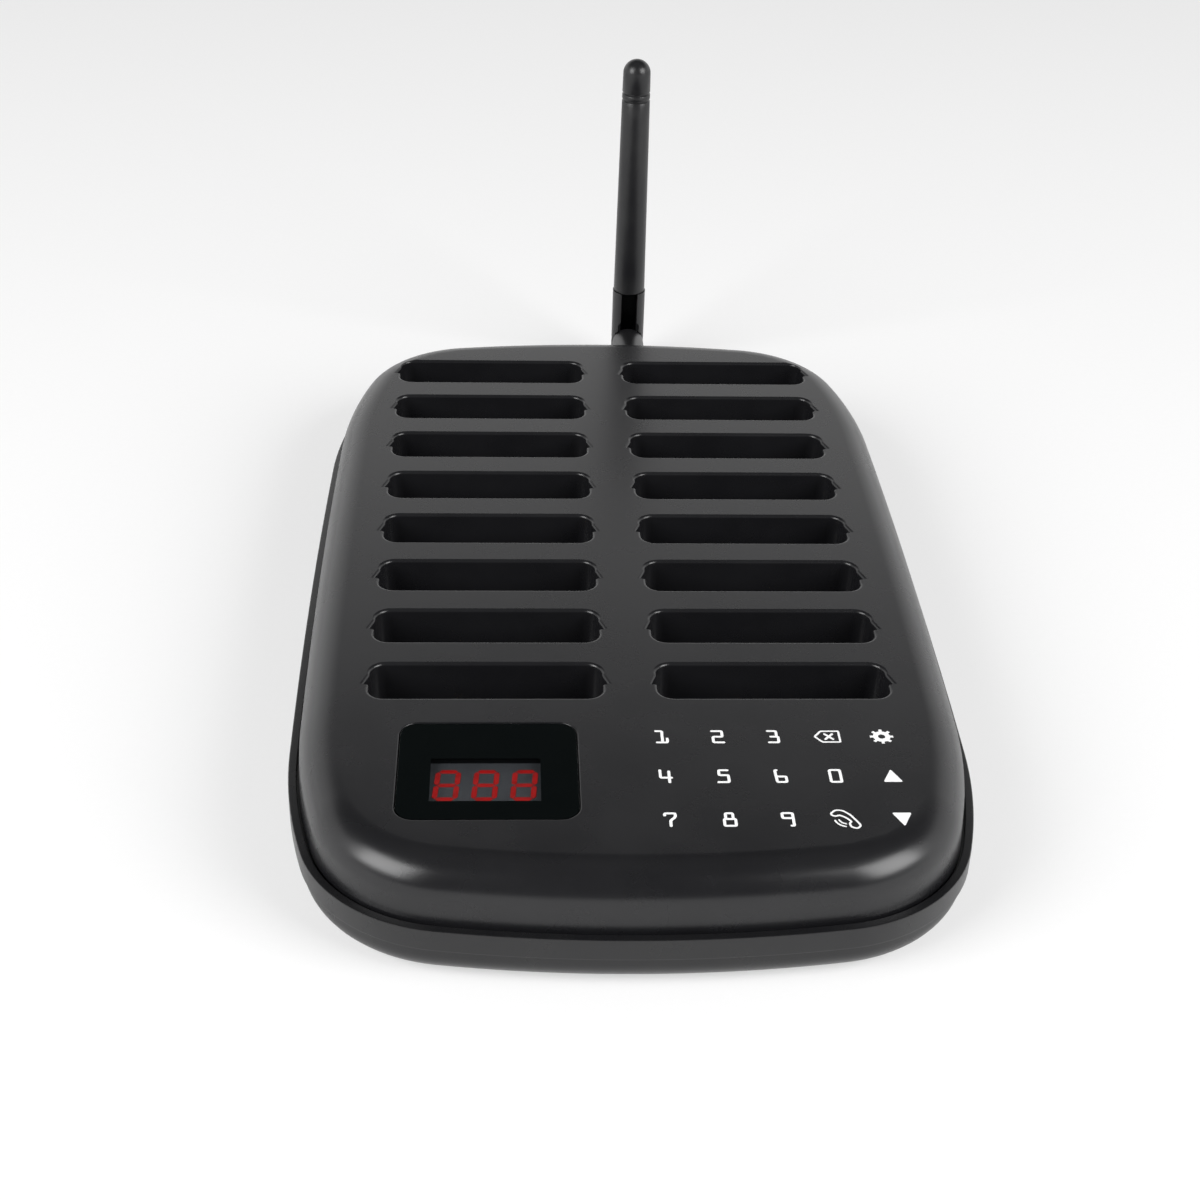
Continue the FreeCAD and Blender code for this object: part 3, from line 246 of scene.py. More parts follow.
def isInside(point, ring):
    inside = False
    for a, b in zip(ring, ring[1:] + ring[:1]):
        if (a.y > point.y) != (b.y > point.y) and point.x < a.x + (b.x - a.x) * (point.y - a.y) / (b.y - a.y):
            inside = not inside
    return inside


def fillRings(bm, rings):
    # A flat face between an outer ring and the holes in it
    verts = [vert for ring in rings for vert in ring]
    loops = [[Vector((vert.co.x / mm, vert.co.y / mm)) for vert in ring] for ring in rings]
    edges, start = [], 0
    for ring in rings:
        count = len(ring)
        edges += [(start + i, start + (i + 1) % count) for i in range(count)]
        start += count
    flatPoints = [p for loop in loops for p in loop]
    points, _, triangles, origins, _, _ = delaunay_2d_cdt(flatPoints, edges, [], 0, 1e-6)
    for triangle in triangles:
        middle = sum((points[i] for i in triangle), Vector((0, 0))) / 3
        if sum(isInside(middle, loop) for loop in loops) == 1:
            bm.faces.new([verts[origins[i][0]] for i in triangle])


def circlePoints(x, y, radius, count):
    turn = 2 * math.pi / count
    return [(x + radius * math.cos(i * turn), y + radius * math.sin(i * turn)) for i in range(count)]


def platePoints(x, y, lengthX, lengthY, radius, steps):
    points = []
    for quarter, (sx, sy) in enumerate(((1, 1), (-1, 1), (-1, -1), (1, -1))):
        for i in range(steps + 1):
            angle = (quarter + i / steps) * math.pi / 2
            points.append((x + sx * (lengthX / 2 - radius) + radius * math.cos(angle),
                           y + sy * (lengthY / 2 - radius) + radius * math.sin(angle)))
    return points


def turnProfile(bm, profile, x, y, count, axis="Z", z=0.0):
    # A profile of (radius, height) turned about an upright line, or a level one along Y
    rings = []
    for radius, height in profile:
        ring = []
        for i in range(count if radius > 0 else 1):
            angle = 2 * math.pi * i / count
            across, other = radius * math.cos(angle), radius * math.sin(angle)
            ring.append(bm.verts.new(spot(x + across, y + other, height) if axis == "Z"
                                     else spot(x + across, height, z + other)))
        rings.append(ring)
    for lower, upper in zip(rings, rings[1:]):
        if len(lower) == len(upper):
            joinRings(bm, lower, upper)
        else:
            tip, ring = (lower[0], upper) if len(lower) == 1 else (upper[0], lower)
            for a, b in zip(ring, ring[1:] + ring[:1]):
                bm.faces.new((a, b, tip))
    for ring in (rings[0], rings[-1]):
        if len(ring) > 2:
            bm.faces.new(ring)


def finishPiece(name, bm, body, material, replaced=(), sharp=40, weighted=True):
    return dressPiece(solidFrom(bm, name), body, material, replaced, sharp, weighted)


def keepTopFlat(mesh, least=4):
    # Marks the edges where roundings leave the level top, so that thin triangles cast no streaks on it
    bm = bmesh.new()
    bm.from_mesh(mesh)
    for edge in bm.edges:
        level = [face.normal.z > 0.99999 for face in edge.link_faces]
        if sum(level) == 1 and edge.calc_face_angle(0) > math.radians(least):
            edge.smooth = False
    bm.to_mesh(mesh)
    bm.free()


def dressPiece(piece, body, material, replaced=(), sharp=40, weighted=True, levelTop=False):
    mesh = piece.data
    mesh.polygons.foreach_set("use_smooth", [True] * len(mesh.polygons))
    mesh.set_sharp_from_angle(angle=math.radians(sharp))
    if levelTop:
        keepTopFlat(mesh)
    if weighted:
        shading = piece.modifiers.new("flatFaces", "WEIGHTED_NORMAL")
        shading.keep_sharp = True
    mesh.materials.clear()
    mesh.materials.append(materials[material])
    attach(piece, body)
    if replaced:
        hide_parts(*replaced)
    return piece


def carve(piece, cutters, added=()):
    # Joins the added solids to the piece, takes the cutters out of it, and drops both
    changes = [(solid, "UNION") for solid in added] + [(cutter, "DIFFERENCE") for cutter in cutters]
    for other, change in changes:
        cut = piece.modifiers.new("carve", "BOOLEAN")
        cut.object = other
        cut.operation = change
        cut.solver = "EXACT"
    ready = piece.evaluated_get(bpy.context.evaluated_depsgraph_get())
    mesh = bpy.data.meshes.new_from_object(ready)
    piece.modifiers.clear()
    piece.data = mesh
    for other in list(added) + list(cutters):
        bpy.data.objects.remove(other)


def solidFrom(bm, name="cutter"):
    bmesh.ops.recalc_face_normals(bm, faces=bm.faces)
    mesh = bpy.data.meshes.new(name)
    bm.to_mesh(mesh)
    bm.free()
    piece = bpy.data.objects.new(name, mesh)
    bpy.context.scene.collection.objects.link(piece)
    return piece


def closeStack(bm, stack):
    # A closed solid from outlines stacked one above another
    rings = [addRing(bm, points, z) for points, z in stack]
    joinStack(bm, rings)
    bm.faces.new(rings[0])
    bm.faces.new(rings[-1])


def boxPoints(x, y, lengthX, lengthY):
    hx, hy = lengthX / 2, lengthY / 2
    return [(x - hx, y - hy), (x + hx, y - hy), (x + hx, y + hy), (x - hx, y + hy)]


def boxCutter(x0, x1, y0, y1, z0, z1):
    bm = bmesh.new()
    corners = [(x0, y0), (x1, y0), (x1, y1), (x0, y1)]
    closeStack(bm, [(corners, z0), (corners, z1)])
    return solidFrom(bm)


def rodCutter(x, z, radius, y0, y1):
    bm = bmesh.new()
    turnProfile(bm, [(radius, y0), (radius, y1)], x, 0, 64, "Y", z)
    return solidFrom(bm)


# Plan outline of the case

casePlan = {"halfWidth": 70.0, "halfLength": 117.5, "sideArc": 2780.0, "sideLength": 121.0,
            "shoulderArc": 125.0, "cornerArc": 32.0, "endArc": 263.0, "sideSteps": 8, "shoulderSteps": 10,
            "cornerSteps": 18, "endSteps": 10}


def caseArcs(plan):
    # One quarter's arcs, each touching the next: side, shoulder, corner, end
    side = Vector((plan["halfWidth"] - plan["sideArc"], 0))
    sideTurn = math.asin(plan["sideLength"] / 2 / plan["sideArc"])
    reach = plan["sideArc"] - plan["shoulderArc"]
    shoulder = side + reach * Vector((math.cos(sideTurn), math.sin(sideTurn)))
    end = Vector((0, plan["halfLength"] - plan["endArc"]))
    near, far = plan["shoulderArc"] - plan["cornerArc"], plan["endArc"] - plan["cornerArc"]
    gap = end - shoulder
    along = (near ** 2 - far ** 2 + gap.length ** 2) / (2 * gap.length)
    across = math.sqrt(near ** 2 - along ** 2)
    unit = gap.normalized()
    corner = shoulder + unit * along + Vector((-unit.y, unit.x)) * across
    if corner.x < 0:
        corner = shoulder + unit * along - Vector((-unit.y, unit.x)) * across
    shoulderTurn = math.atan2(corner.y - shoulder.y, corner.x - shoulder.x)
    endTurn = math.atan2(corner.y - end.y, corner.x - end.x)
    return [(side, plan["sideArc"], 0, sideTurn, plan["sideSteps"] // 2),
            (shoulder, plan["shoulderArc"], sideTurn, shoulderTurn, plan["shoulderSteps"]),
            (corner, plan["cornerArc"], shoulderTurn, endTurn, plan["cornerSteps"]),
            (end, plan["endArc"], endTurn, math.pi / 2, plan["endSteps"])]


quarterArcs = caseArcs(casePlan)


def outlinePoints(inset):
    quarter = []
    for centre, radius, start, stop, steps in quarterArcs:
        for i in range(steps):
            angle = start + (stop - start) * i / steps
            reach = radius - inset
            quarter.append((centre.x + reach * math.cos(angle), centre.y + reach * math.sin(angle)))
    top = (0.0, casePlan["halfLength"] - inset)
    half = quarter + [top] + [(-x, y) for x, y in quarter[:0:-1]]
    return half + [(-x, -y) for x, y in half]


def quarterTurn(steps, insetStart, zStart, radius, rising):
    # Rings of a rounded edge: from upright to level at the top, or from level to upright at the bottom
    rings = []
    for i in range(steps + 1):
        angle = math.pi / 2 * i / steps
        if rising:
            rings.append((insetStart + radius * (1 - math.cos(angle)), zStart + radius * math.sin(angle)))
        else:
            rings.append((insetStart + radius * (1 - math.sin(angle)),
                          zStart + radius * (1 - math.cos(angle))))
    return rings


# Top cover

coverPlan = {"topZ": 25.0, "skirtZ": 11.8, "inset": 2.1, "draft": 0.35, "shoulder": 7.5, "shoulderSteps": 14,
             "wall": 2.2, "innerChamfer": 2.6, "skirtEdge": 0.2}
slotPlan = {"rows": 8, "pitch": 20.6, "spacing": 58.9, "firstY": 92.1, "length": 50.0, "body": 47.6,
            "depth": 12.2, "corner": 3.2, "cornerSteps": 6, "rim": 0.7, "rimSteps": 4, "floorZ": 10.4,
            "bottomZ": 9.2, "wall": 1.3, "wallCorner": 4.5,
            "notchRear": 0.72, "notchFront": -0.5, "notchTip": -0.41}
pinPlan = {"spacing": 12.0, "radius": 0.42, "hole": 0.51, "tipZ": 11.9, "rootZ": 7.9, "sides": 16,
           "domeSteps": 4}
windowPlan = {"x": -28.8, "y": -82.25, "lengthX": 35.0, "lengthY": 30.7, "corner": 3.8, "cornerSteps": 8,
              "seatZ": 23.6, "rim": 0.22, "gap": 0.15, "paneLow": 23.75, "paneHigh": 24.95, "paneEdge": 0.22,
              "rimSteps": 3, "paneSteps": 10, "printDepth": 0.04, "printInset": 0.25, "printCorner": 3.5,
              "openX": -29.25, "openY": -85.25, "openLengthX": 24.1, "openLengthY": 15.6,
              "viewX": -29.25, "viewY": -85.25, "viewLengthX": 21.1, "viewLengthY": 13.3}
portPlan = {"jackX": -14.0, "jackHalf": 4.75, "jackZ": (5.95, 17.45), "switchX": -29.0, "switchHalf": 2.6,
            "switchZ": (8.7, 11.1), "padR": 5.2, "padY": 115.6, "holeR": 3.22, "antennaX": 10.0, "axisZ": 8.5,
            "innerY": 111.0, "outerY": 120.0}


def portCutter(kind, y0):
    # The rear wall's opening for the jack or the switch
    x, half = portPlan[kind + "X"], portPlan[kind + "Half"]
    z0, z1 = portPlan[kind + "Z"]
    return boxCutter(x - half, x + half, y0, portPlan["outerY"], z0, z1)


def slotPlaces():
    places = []
    for row in range(slotPlan["rows"]):
        for side in (-1, 1):
            places.append((side * slotPlan["spacing"] / 2, slotPlan["firstY"] - row * slotPlan["pitch"]))
    return places


def slotPoints(cx, cy, grow):
    plan = slotPlan
    halfBody, halfDepth = plan["body"] / 2 + grow, plan["depth"] / 2 + grow
    radius = plan["corner"] + grow
    straight = halfDepth - radius
    corner = []
    for i in range(plan["cornerSteps"] + 1):
        angle = i * math.pi / 2 / plan["cornerSteps"]
        corner.append((halfBody - radius * (1 - math.cos(angle)), straight + radius * math.sin(angle)))
    end = [(x, -y) for x, y in corner[::-1]]
    end.append((halfBody, plan["notchFront"] * straight))
    end.append((plan["length"] / 2 + grow, plan["notchTip"] * straight))
    end.append((halfBody, plan["notchRear"] * straight))
    end.extend(corner)
    points = end + [(-x, y) for x, y in end[::-1]]
    return [(cx + x, cy + y) for x, y in points]


def wellSolids():
    # The wells' outer boxes, their hollows with rounded mouths, and the holes for the pins
    well, topZ = slotPlan, coverPlan["topZ"]
    blocks, hollows, holes = bmesh.new(), bmesh.new(), bmesh.new()
    halfX, halfY = well["length"] / 2 + well["wall"], well["depth"] / 2 + well["wall"]
    cut = well["wallCorner"]
    for cx, cy in slotPlaces():
        outer = []
        for sx, sy in ((-1, -1), (1, -1), (1, 1), (-1, 1)):
            pair = [(cx + sx * halfX, cy + sy * (halfY - cut)), (cx + sx * (halfX - cut), cy + sy * halfY)]
            outer += pair if sx * sy > 0 else pair[::-1]
        closeStack(blocks, [(outer, well["bottomZ"]), (outer, topZ - coverPlan["wall"] / 2)])
        stack = [(slotPoints(cx, cy, 0), well["floorZ"])]
        for i in range(well["rimSteps"] + 1):
            angle = math.pi / 2 * i / well["rimSteps"]
            stack.append((slotPoints(cx, cy, well["rim"] * (1 - math.cos(angle))),
                          topZ - well["rim"] * (1 - math.sin(angle))))
        stack.append((slotPoints(cx, cy, well["rim"]), topZ + 2))
        closeStack(hollows, stack)
        for side in (-1, 1):
            hole = circlePoints(cx + side * pinPlan["spacing"] / 2, cy, pinPlan["hole"], pinPlan["sides"])
            closeStack(holes, [(hole, well["bottomZ"] - 1), (hole, well["floorZ"] + 1)])
    return solidFrom(blocks), solidFrom(hollows), solidFrom(holes)


def makeCover():
    plan = coverPlan
    bm = bmesh.new()
    shoulderZ = plan["topZ"] - plan["shoulder"]
    edge = plan["skirtEdge"]
    levels = [(plan["inset"] + edge, plan["skirtZ"]), (plan["inset"], plan["skirtZ"] + edge)]
    levels += quarterTurn(plan["shoulderSteps"], plan["inset"] + plan["draft"], shoulderZ,
                          plan["shoulder"], True)
    rings = [addRing(bm, outlinePoints(inset), z) for inset, z in levels]
    joinStack(bm, rings)
    ceilingZ = plan["topZ"] - plan["wall"]
    innerInset = plan["inset"] + plan["wall"]
    innerLow = addRing(bm, outlinePoints(innerInset), plan["skirtZ"])
    innerMid = addRing(bm, outlinePoints(innerInset), ceilingZ - plan["innerChamfer"])
    innerTop = addRing(bm, outlinePoints(innerInset + plan["innerChamfer"]), ceilingZ)
    joinRings(bm, innerLow, rings[0])
    joinRings(bm, innerMid, innerLow)
    joinRings(bm, innerTop, innerMid)

    seat = windowPlan
    mouth = []
    for i in range(seat["rimSteps"] + 1):
        angle = math.pi / 2 * i / seat["rimSteps"]
        grow = seat["rim"] * (1 - math.sin(angle))
        points = platePoints(seat["x"], seat["y"], seat["lengthX"] + 2 * grow, seat["lengthY"] + 2 * grow,
                             seat["corner"] + grow, seat["cornerSteps"])
        mouth.append(addRing(bm, points, plan["topZ"] - seat["rim"] * (1 - math.cos(angle))))
    ledge = addRing(bm, platePoints(seat["x"], seat["y"], seat["lengthX"], seat["lengthY"], seat["corner"],
                                    seat["cornerSteps"]), seat["seatZ"])
    for upper, lower in zip(mouth, mouth[1:] + [ledge]):
        joinRings(bm, lower, upper)
    opening = boxPoints(seat["openX"], seat["openY"], seat["openLengthX"], seat["openLengthY"])
    openTop, openLow = addRing(bm, opening, seat["seatZ"]), addRing(bm, opening, ceilingZ)
    joinRings(bm, openLow, openTop)
    fillRings(bm, [ledge, openTop])
    fillRings(bm, [rings[-1], mouth[0]])
    fillRings(bm, [innerTop, openLow])
    piece = solidFrom(bm, "topCoverMoulding")
    blocks, hollows, holes = wellSolids()
    carve(piece, [hollows, holes, portCutter("jack", portPlan["innerY"] - 2)], [blocks])
    return dressPiece(piece, "base", "sparkTexturedAbs", ["top_cover"], levelTop=True)


makeCover()
print("top cover made")

# Lower half of the case

lowerPlan = {"undersideZ": 1.2, "stepZ": 8.0, "rimZ": 12.8, "seatZ": 11.8, "stepInset": 0.8, "ledge": 1.65,
             "wall": 2.2, "bottomEdge": 5.0, "bottomSteps": 10, "rimEdge": 0.3, "floorZ": 3.4}
screwPlan = {"places": ((44.5, 104.4), (61.4, -60.0), (24.0, -108.2)), "boreR": 2.75, "boreDepth": 3.0,
             "sides": 32, "headR": 2.45, "headHigh": 1.7, "shankR": 1.35, "length": 12.0, "recess": 1.1,
             "crossReach": 1.35, "crossHalf": 0.32, "crossTaper": 0.6}


def screwPlaces():
    return [(side * x, y) for x, y in screwPlan["places"] for side in (-1, 1)]


def makeLowerCase():
    plan = lowerPlan
    bm = bmesh.new()
    edge = plan["rimEdge"]
    levels = quarterTurn(plan["bottomSteps"], plan["stepInset"], plan["undersideZ"], plan["bottomEdge"],
                         False)
    levels += [(plan["stepInset"], plan["stepZ"])]
    levels += [(edge, plan["stepZ"]), (edge * 0.3, plan["stepZ"] + edge * 0.3), (0, plan["stepZ"] + edge)]
    levels += [(0, plan["rimZ"] - edge), (edge * 0.3, plan["rimZ"] - edge * 0.3), (edge, plan["rimZ"])]
    levels += [(plan["ledge"] - 0.1, plan["rimZ"]), (plan["ledge"], plan["rimZ"] - 0.1),
               (plan["ledge"], plan["seatZ"])]
    innerInset = plan["stepInset"] + plan["wall"]
    levels += [(innerInset, plan["seatZ"]), (innerInset, plan["floorZ"] + 1.2)]
    rings = [addRing(bm, outlinePoints(inset), z) for inset, z in levels]
    joinStack(bm, rings)
    bm.faces.new(rings[-1])
    bm.faces.new(rings[0])
    bores = bmesh.new()
    for x, y in screwPlaces():
        points = circlePoints(x, y, screwPlan["boreR"], screwPlan["sides"])
        closeStack(bores, [(points, plan["undersideZ"] - 2),
                           (points, plan["undersideZ"] + screwPlan["boreDepth"])])
    piece = solidFrom(bm, "lowerCaseMoulding")
    port = portPlan
    carve(piece, [
        portCutter("jack", port["innerY"]), portCutter("switch", port["innerY"]),
        rodCutter(port["antennaX"], port["axisZ"], port["padR"], port["padY"], port["outerY"]),
        rodCutter(port["antennaX"], port["axisZ"], port["holeR"], port["innerY"], port["outerY"] + 1),
        solidFrom(bores)])
    return dressPiece(piece, "base", "sparkTexturedAbsCase", ["bottom_case"])


makeLowerCase()
print("lower case made")

# Feet and case screws

footPlan = {"places": ((52.0, 90.0), (52.0, -90.0)), "radius": 6.0, "high": 1.2, "edge": 0.35, "sides": 48}


def makeFeet():
    plan = footPlan
    bm = bmesh.new()
    r, e = plan["radius"], plan["edge"]
    profile = [(0, 0.08), (r * 0.45, 0.08), (r * 0.5, 0), (r - e, 0), (r - e * 0.3, e * 0.3), (r, e),
               (r, plan["high"])]
    for x, y in plan["places"]:
        for side in (-1, 1):
            turnProfile(bm, profile, side * x, y, plan["sides"])
    return finishPiece("rubberFeet", bm, "base", "mouldedRubber", ["rubber_feet"])


def crossCutter(x, y, z0, z1):
    # The cross recess, narrower at its upper end
    bm = bmesh.new()
    reach, half, taper = screwPlan["crossReach"], screwPlan["crossHalf"], screwPlan["crossTaper"]
    points = [(half, half), (half, reach), (-half, reach), (-half, half), (-reach, half), (-reach, -half),
              (-half, -half), (-half, -reach), (half, -reach), (half, -half), (reach, -half), (reach, half)]
    mouth = [(x + px, y + py) for px, py in points]
    root = [(x + px * taper, y + py * taper) for px, py in points]
    closeStack(bm, [(mouth, z0), (root, z1)])
    return solidFrom(bm)


def makeCaseScrews():
    plan = screwPlan
    headZ = lowerPlan["undersideZ"] + plan["boreDepth"]
    bm = bmesh.new()
    r, high = plan["headR"], plan["headHigh"]
    bottom = headZ - high
    profile = [(0, bottom), (r * 0.7, bottom), (r * 0.92, bottom + high * 0.18), (r, bottom + high * 0.5),
               (r, headZ), (plan["shankR"], headZ), (plan["shankR"], headZ + plan["length"]),
               (0, headZ + plan["length"])]
    for x, y in screwPlaces():
        turnProfile(bm, profile, x, y, plan["sides"])
    piece = solidFrom(bm, "crossHeadScrews")
    carve(piece, [crossCutter(x, y, bottom - 0.2, bottom + plan["recess"]) for x, y in screwPlaces()])
    return dressPiece(piece, "base", "zincPlatedSteel", ["case_screws"])


makeFeet()
makeCaseScrews()
print("feet and screws made")

# Number window


def makePane():
    plan = windowPlan
    bm = bmesh.new()
    lx, ly = plan["lengthX"] - 2 * plan["gap"], plan["lengthY"] - 2 * plan["gap"]
    r = plan["corner"] - plan["gap"]
    e = plan["paneEdge"]
    levels = [(0, plan["paneLow"]), (0, plan["paneHigh"] - e), (e * 0.3, plan["paneHigh"] - e * 0.3),
              (e, plan["paneHigh"])]
    rings = [addRing(bm, platePoints(plan["x"], plan["y"], lx - 2 * i, ly - 2 * i, r - i,
                                     plan["paneSteps"]), z) for i, z in levels]
    joinStack(bm, rings)
    bm.faces.new(rings[0])
    bm.faces.new(rings[-1])
    return finishPiece("windowPane", bm, "base", "smokedAcrylic", ["display_window"])


def makeMask():
    # The black print just under the pane's clear skin, open over the digits
    plan = windowPlan
    bm = bmesh.new()
    z = plan["paneHigh"] - plan["printDepth"]
    printX, printY = plan["lengthX"] - 2 * plan["printInset"], plan["lengthY"] - 2 * plan["printInset"]
    outer = addRing(bm, platePoints(plan["x"], plan["y"], printX, printY, plan["printCorner"],
                                    plan["cornerSteps"]), z)
    view = boxPoints(plan["viewX"], plan["viewY"], plan["viewLengthX"], plan["viewLengthY"])
    fillRings(bm, [outer, addRing(bm, view, z)])
    return finishPiece("paneBackPrint", bm, "base", "backPrintedInk", weighted=False)


makePane()
makeMask()
print("window made")

# Key legends

legendPlan = {"columns": (5.3, 16.4, 27.4, 38.1, 49.0), "rows": (-71.7, -84.5, -97.8),
              "width": 2.7, "height": 4.3, "stroke": 0.56, "inkZ": 25.012, "sunk": 0.02, "jointSides": 12}
# Digit strokes in a unit cell, x to the right and y up
digitStrokes = {
    "1": [[(0, 1), (0.55, 1), (0.55, 0)], [(0.05, 0), (1, 0), (1, 0.34)]],
    "2": [[(0, 1), (0.92, 1), (0.92, 0.5), (0.05, 0.5), (0.05, 0), (1, 0)]],
    "3": [[(0.05, 1), (0.82, 1), (0.82, 0.5)], [(0.28, 0.5), (0.95, 0.5), (0.95, 0), (0.05, 0)]],
    "4": [[(0, 1), (0.02, 0.38), (1, 0.38)], [(0.8, 0.9), (0.8, 0)]],
    "5": [[(0.9, 1), (0.12, 1), (0.12, 0.58), (0.95, 0.58), (0.95, 0), (0, 0)]],
    "6": [[(0.2, 1), (0.06, 0.97), (0.14, 0), (1, 0), (1, 0.46), (0.12, 0.46)]],
    "7": [[(0.02, 0.84), (0.02, 1), (0.95, 1), (0.95, 0.72), (0.5, 0.42), (0.5, 0)]],
    "8": [[(0.16, 0.54), (0.16, 1), (0.8, 1), (0.8, 0.54)], [(0, 0), (0, 0.54), (1, 0.54), (1, 0), (0, 0)]],
    "9": [[(0.9, 0.6), (0, 0.6), (0, 1), (0.92, 1), (0.92, 0), (0.7, 0)]],
    "0": [[(0, 0), (0, 1), (0.95, 1), (0.95, 0), (0, 0)]],
}
legendGrid = [["1", "2", "3", "erase", "gear"], ["4", "5", "6", "0", "up"],
              ["7", "8", "9", "handset", "down"]]


def softCorners(points, radius):
    # Rounds the corners of a stroke
    closed = points[0] == points[-1]
    corners = points[:-1] if closed else points
    count = len(corners)
    path = []
    for i, point in enumerate(corners):
        here = Vector(point)
        if not closed and i in (0, count - 1):
            path.append(here)
            continue
        before, after = Vector(corners[i - 1]), Vector(corners[(i + 1) % count])
        reach = min(radius, (before - here).length / 2, (after - here).length / 2)
        start, stop = here + (before - here).normalized() * reach, here + (after - here).normalized() * reach
        for step in range(4):
            t = step / 3
            path.append(start * (1 - t) ** 2 + here * 2 * t * (1 - t) + stop * t ** 2)
    if closed:
        path.append(path[0])
    return path


def strokeLoops(path, width):
    # A stroke as convex loops: a bar along each run and a round joint at each point
    half = width / 2
    sides = legendPlan["jointSides"]
    loops = [[Vector(p) for p in circlePoints(point.x, point.y, half, sides)] for point in path]
    for start, stop in zip(path, path[1:]):
        ahead = (stop - start).normalized()
        across = Vector((-ahead.y, ahead.x)) * half
        loops.append([start + across, start - across, stop - across, stop + across])
    return loops


def inkPatch(bm, loops, holes=()):
    # One flat print over everything the loops cover, with the ink's own thickness
    points, edges = [], []
    for loop in list(loops) + list(holes):
        first, count = len(points), len(loop)
        points += loop
        edges += [(first + i, first + (i + 1) % count) for i in range(count)]
    flat, _, triangles, _, _, _ = delaunay_2d_cdt(points, edges, [], 0, 1e-5)
    covered = []
    for triangle in triangles:
        middle = sum((flat[i] for i in triangle), Vector((0, 0))) / 3
        inLoop = any(isInside(middle, loop) for loop in loops)
        if inLoop and not any(isInside(middle, loop) for loop in holes):
            covered.append(triangle)
    used = sorted({i for triangle in covered for i in triangle})
    lowZ = coverPlan["topZ"] - legendPlan["sunk"]
    lower = {i: bm.verts.new(spot(flat[i].x, flat[i].y, lowZ)) for i in used}
    upper = {i: bm.verts.new(spot(flat[i].x, flat[i].y, legendPlan["inkZ"])) for i in used}
    sides = {(triangle[i], triangle[(i + 1) % 3]) for triangle in covered for i in range(3)}
    for triangle in covered:
        bm.faces.new([upper[i] for i in triangle])
        bm.faces.new([lower[i] for i in triangle[::-1]])
    for start, stop in sides:
        if (stop, start) not in sides:
            bm.faces.new((upper[start], lower[start], lower[stop], upper[stop]))


def drawDigit(cx, cy, key):
    wide, tall = legendPlan["width"] - legendPlan["stroke"], legendPlan["height"] - legendPlan["stroke"]
    loops = []
    for stroke in digitStrokes[key]:
        soft = softCorners([((px - 0.5) * wide, (py - 0.5) * tall) for px, py in stroke], 0.3)
        loops += strokeLoops([Vector((cx + p.x, cy + p.y)) for p in soft], legendPlan["stroke"])
    return loops, []


def drawErase(cx, cy):
    half, high, point = 2.45, 1.8, 1.35
    tag = [(-half, 0), (point - half, high), (half, high), (half, -high), (point - half, -high), (-half, 0)]
    loops = strokeLoops([Vector((cx + p.x, cy + p.y)) for p in softCorners(tag, 0.25)], 0.42)
    for slope in (-1, 1):
        bar = [Vector((cx + 0.35 - slope * 0.75, cy - 0.85)), Vector((cx + 0.35 + slope * 0.75, cy + 0.85))]
        loops += strokeLoops(bar, 0.5)
    return loops, []


def drawGear(cx, cy):
    teeth, outer, root, bore = 8, 2.35, 1.72, 0.72
    loops = [[Vector(p) for p in circlePoints(cx, cy, root, 32)]]
    for i in range(teeth):
        tooth = []
        for share, radius in ((-0.28, root - 0.3), (-0.17, outer), (0.17, outer), (0.28, root - 0.3)):
            angle = 2 * math.pi * (i + share) / teeth
            tooth.append(Vector((cx + radius * math.cos(angle), cy + radius * math.sin(angle))))
        loops.append(tooth)
    return loops, [[Vector(p) for p in circlePoints(cx, cy, bore, 24)]]


def drawArrow(cx, cy, turn):
    # Points to the rear where turn is 1, and to the front where it is -1
    corners = [(0, turn * 2.1), (-1.9, -turn * 1.9), (1.9, -turn * 1.9), (0, turn * 2.1)]
    return [[Vector((cx + p.x, cy + p.y)) for p in softCorners(corners, 0.45)[:-1]]], []


def drawHandset(cx, cy):
    # The receiver lies from top left to bottom right, with two ringing arcs below it
    body = [(-2.55, 1.75), (-1.55, 2.75), (-0.2, 2.6), (1.1, 1.3), (2.1, -0.6), (2.7, -1.9), (1.9, -2.8),
            (0.75, -2.3), (0.6, -1.2), (1.1, -0.75), (0.1, 0.55), (-1.05, 1.25), (-1.65, 0.85),
            (-2.4, 1.15), (-2.55, 1.75)]
    loops = strokeLoops([Vector((cx + p.x, cy + p.y)) for p in softCorners(body, 0.5)], 0.4)
    for radius in (1.5, 2.3):
        arc = []
        for i in range(9):
            angle = math.radians(192 + 66 * i / 8)
            arc.append(Vector((cx + 0.25 + radius * math.cos(angle), cy + 0.1 + radius * math.sin(angle))))
        loops += strokeLoops(arc, 0.36)
    return loops, []


def makeLegends():
    plan = legendPlan
    bm = bmesh.new()
    for cy, row in zip(plan["rows"], legendGrid):
        for cx, key in zip(plan["columns"], row):
            if key in digitStrokes:
                loops, holes = drawDigit(cx, cy, key)
            elif key == "erase":
                loops, holes = drawErase(cx, cy)
            elif key == "gear":
                loops, holes = drawGear(cx, cy)
            elif key == "handset":
                loops, holes = drawHandset(cx, cy)
            else:
                loops, holes = drawArrow(cx, cy, 1 if key == "up" else -1)
            inkPatch(bm, loops, holes)
    return finishPiece("keyLegends", bm, "base", "screenPrintedInk", weighted=False)


makeLegends()
print("key legends made")

# Contact pins


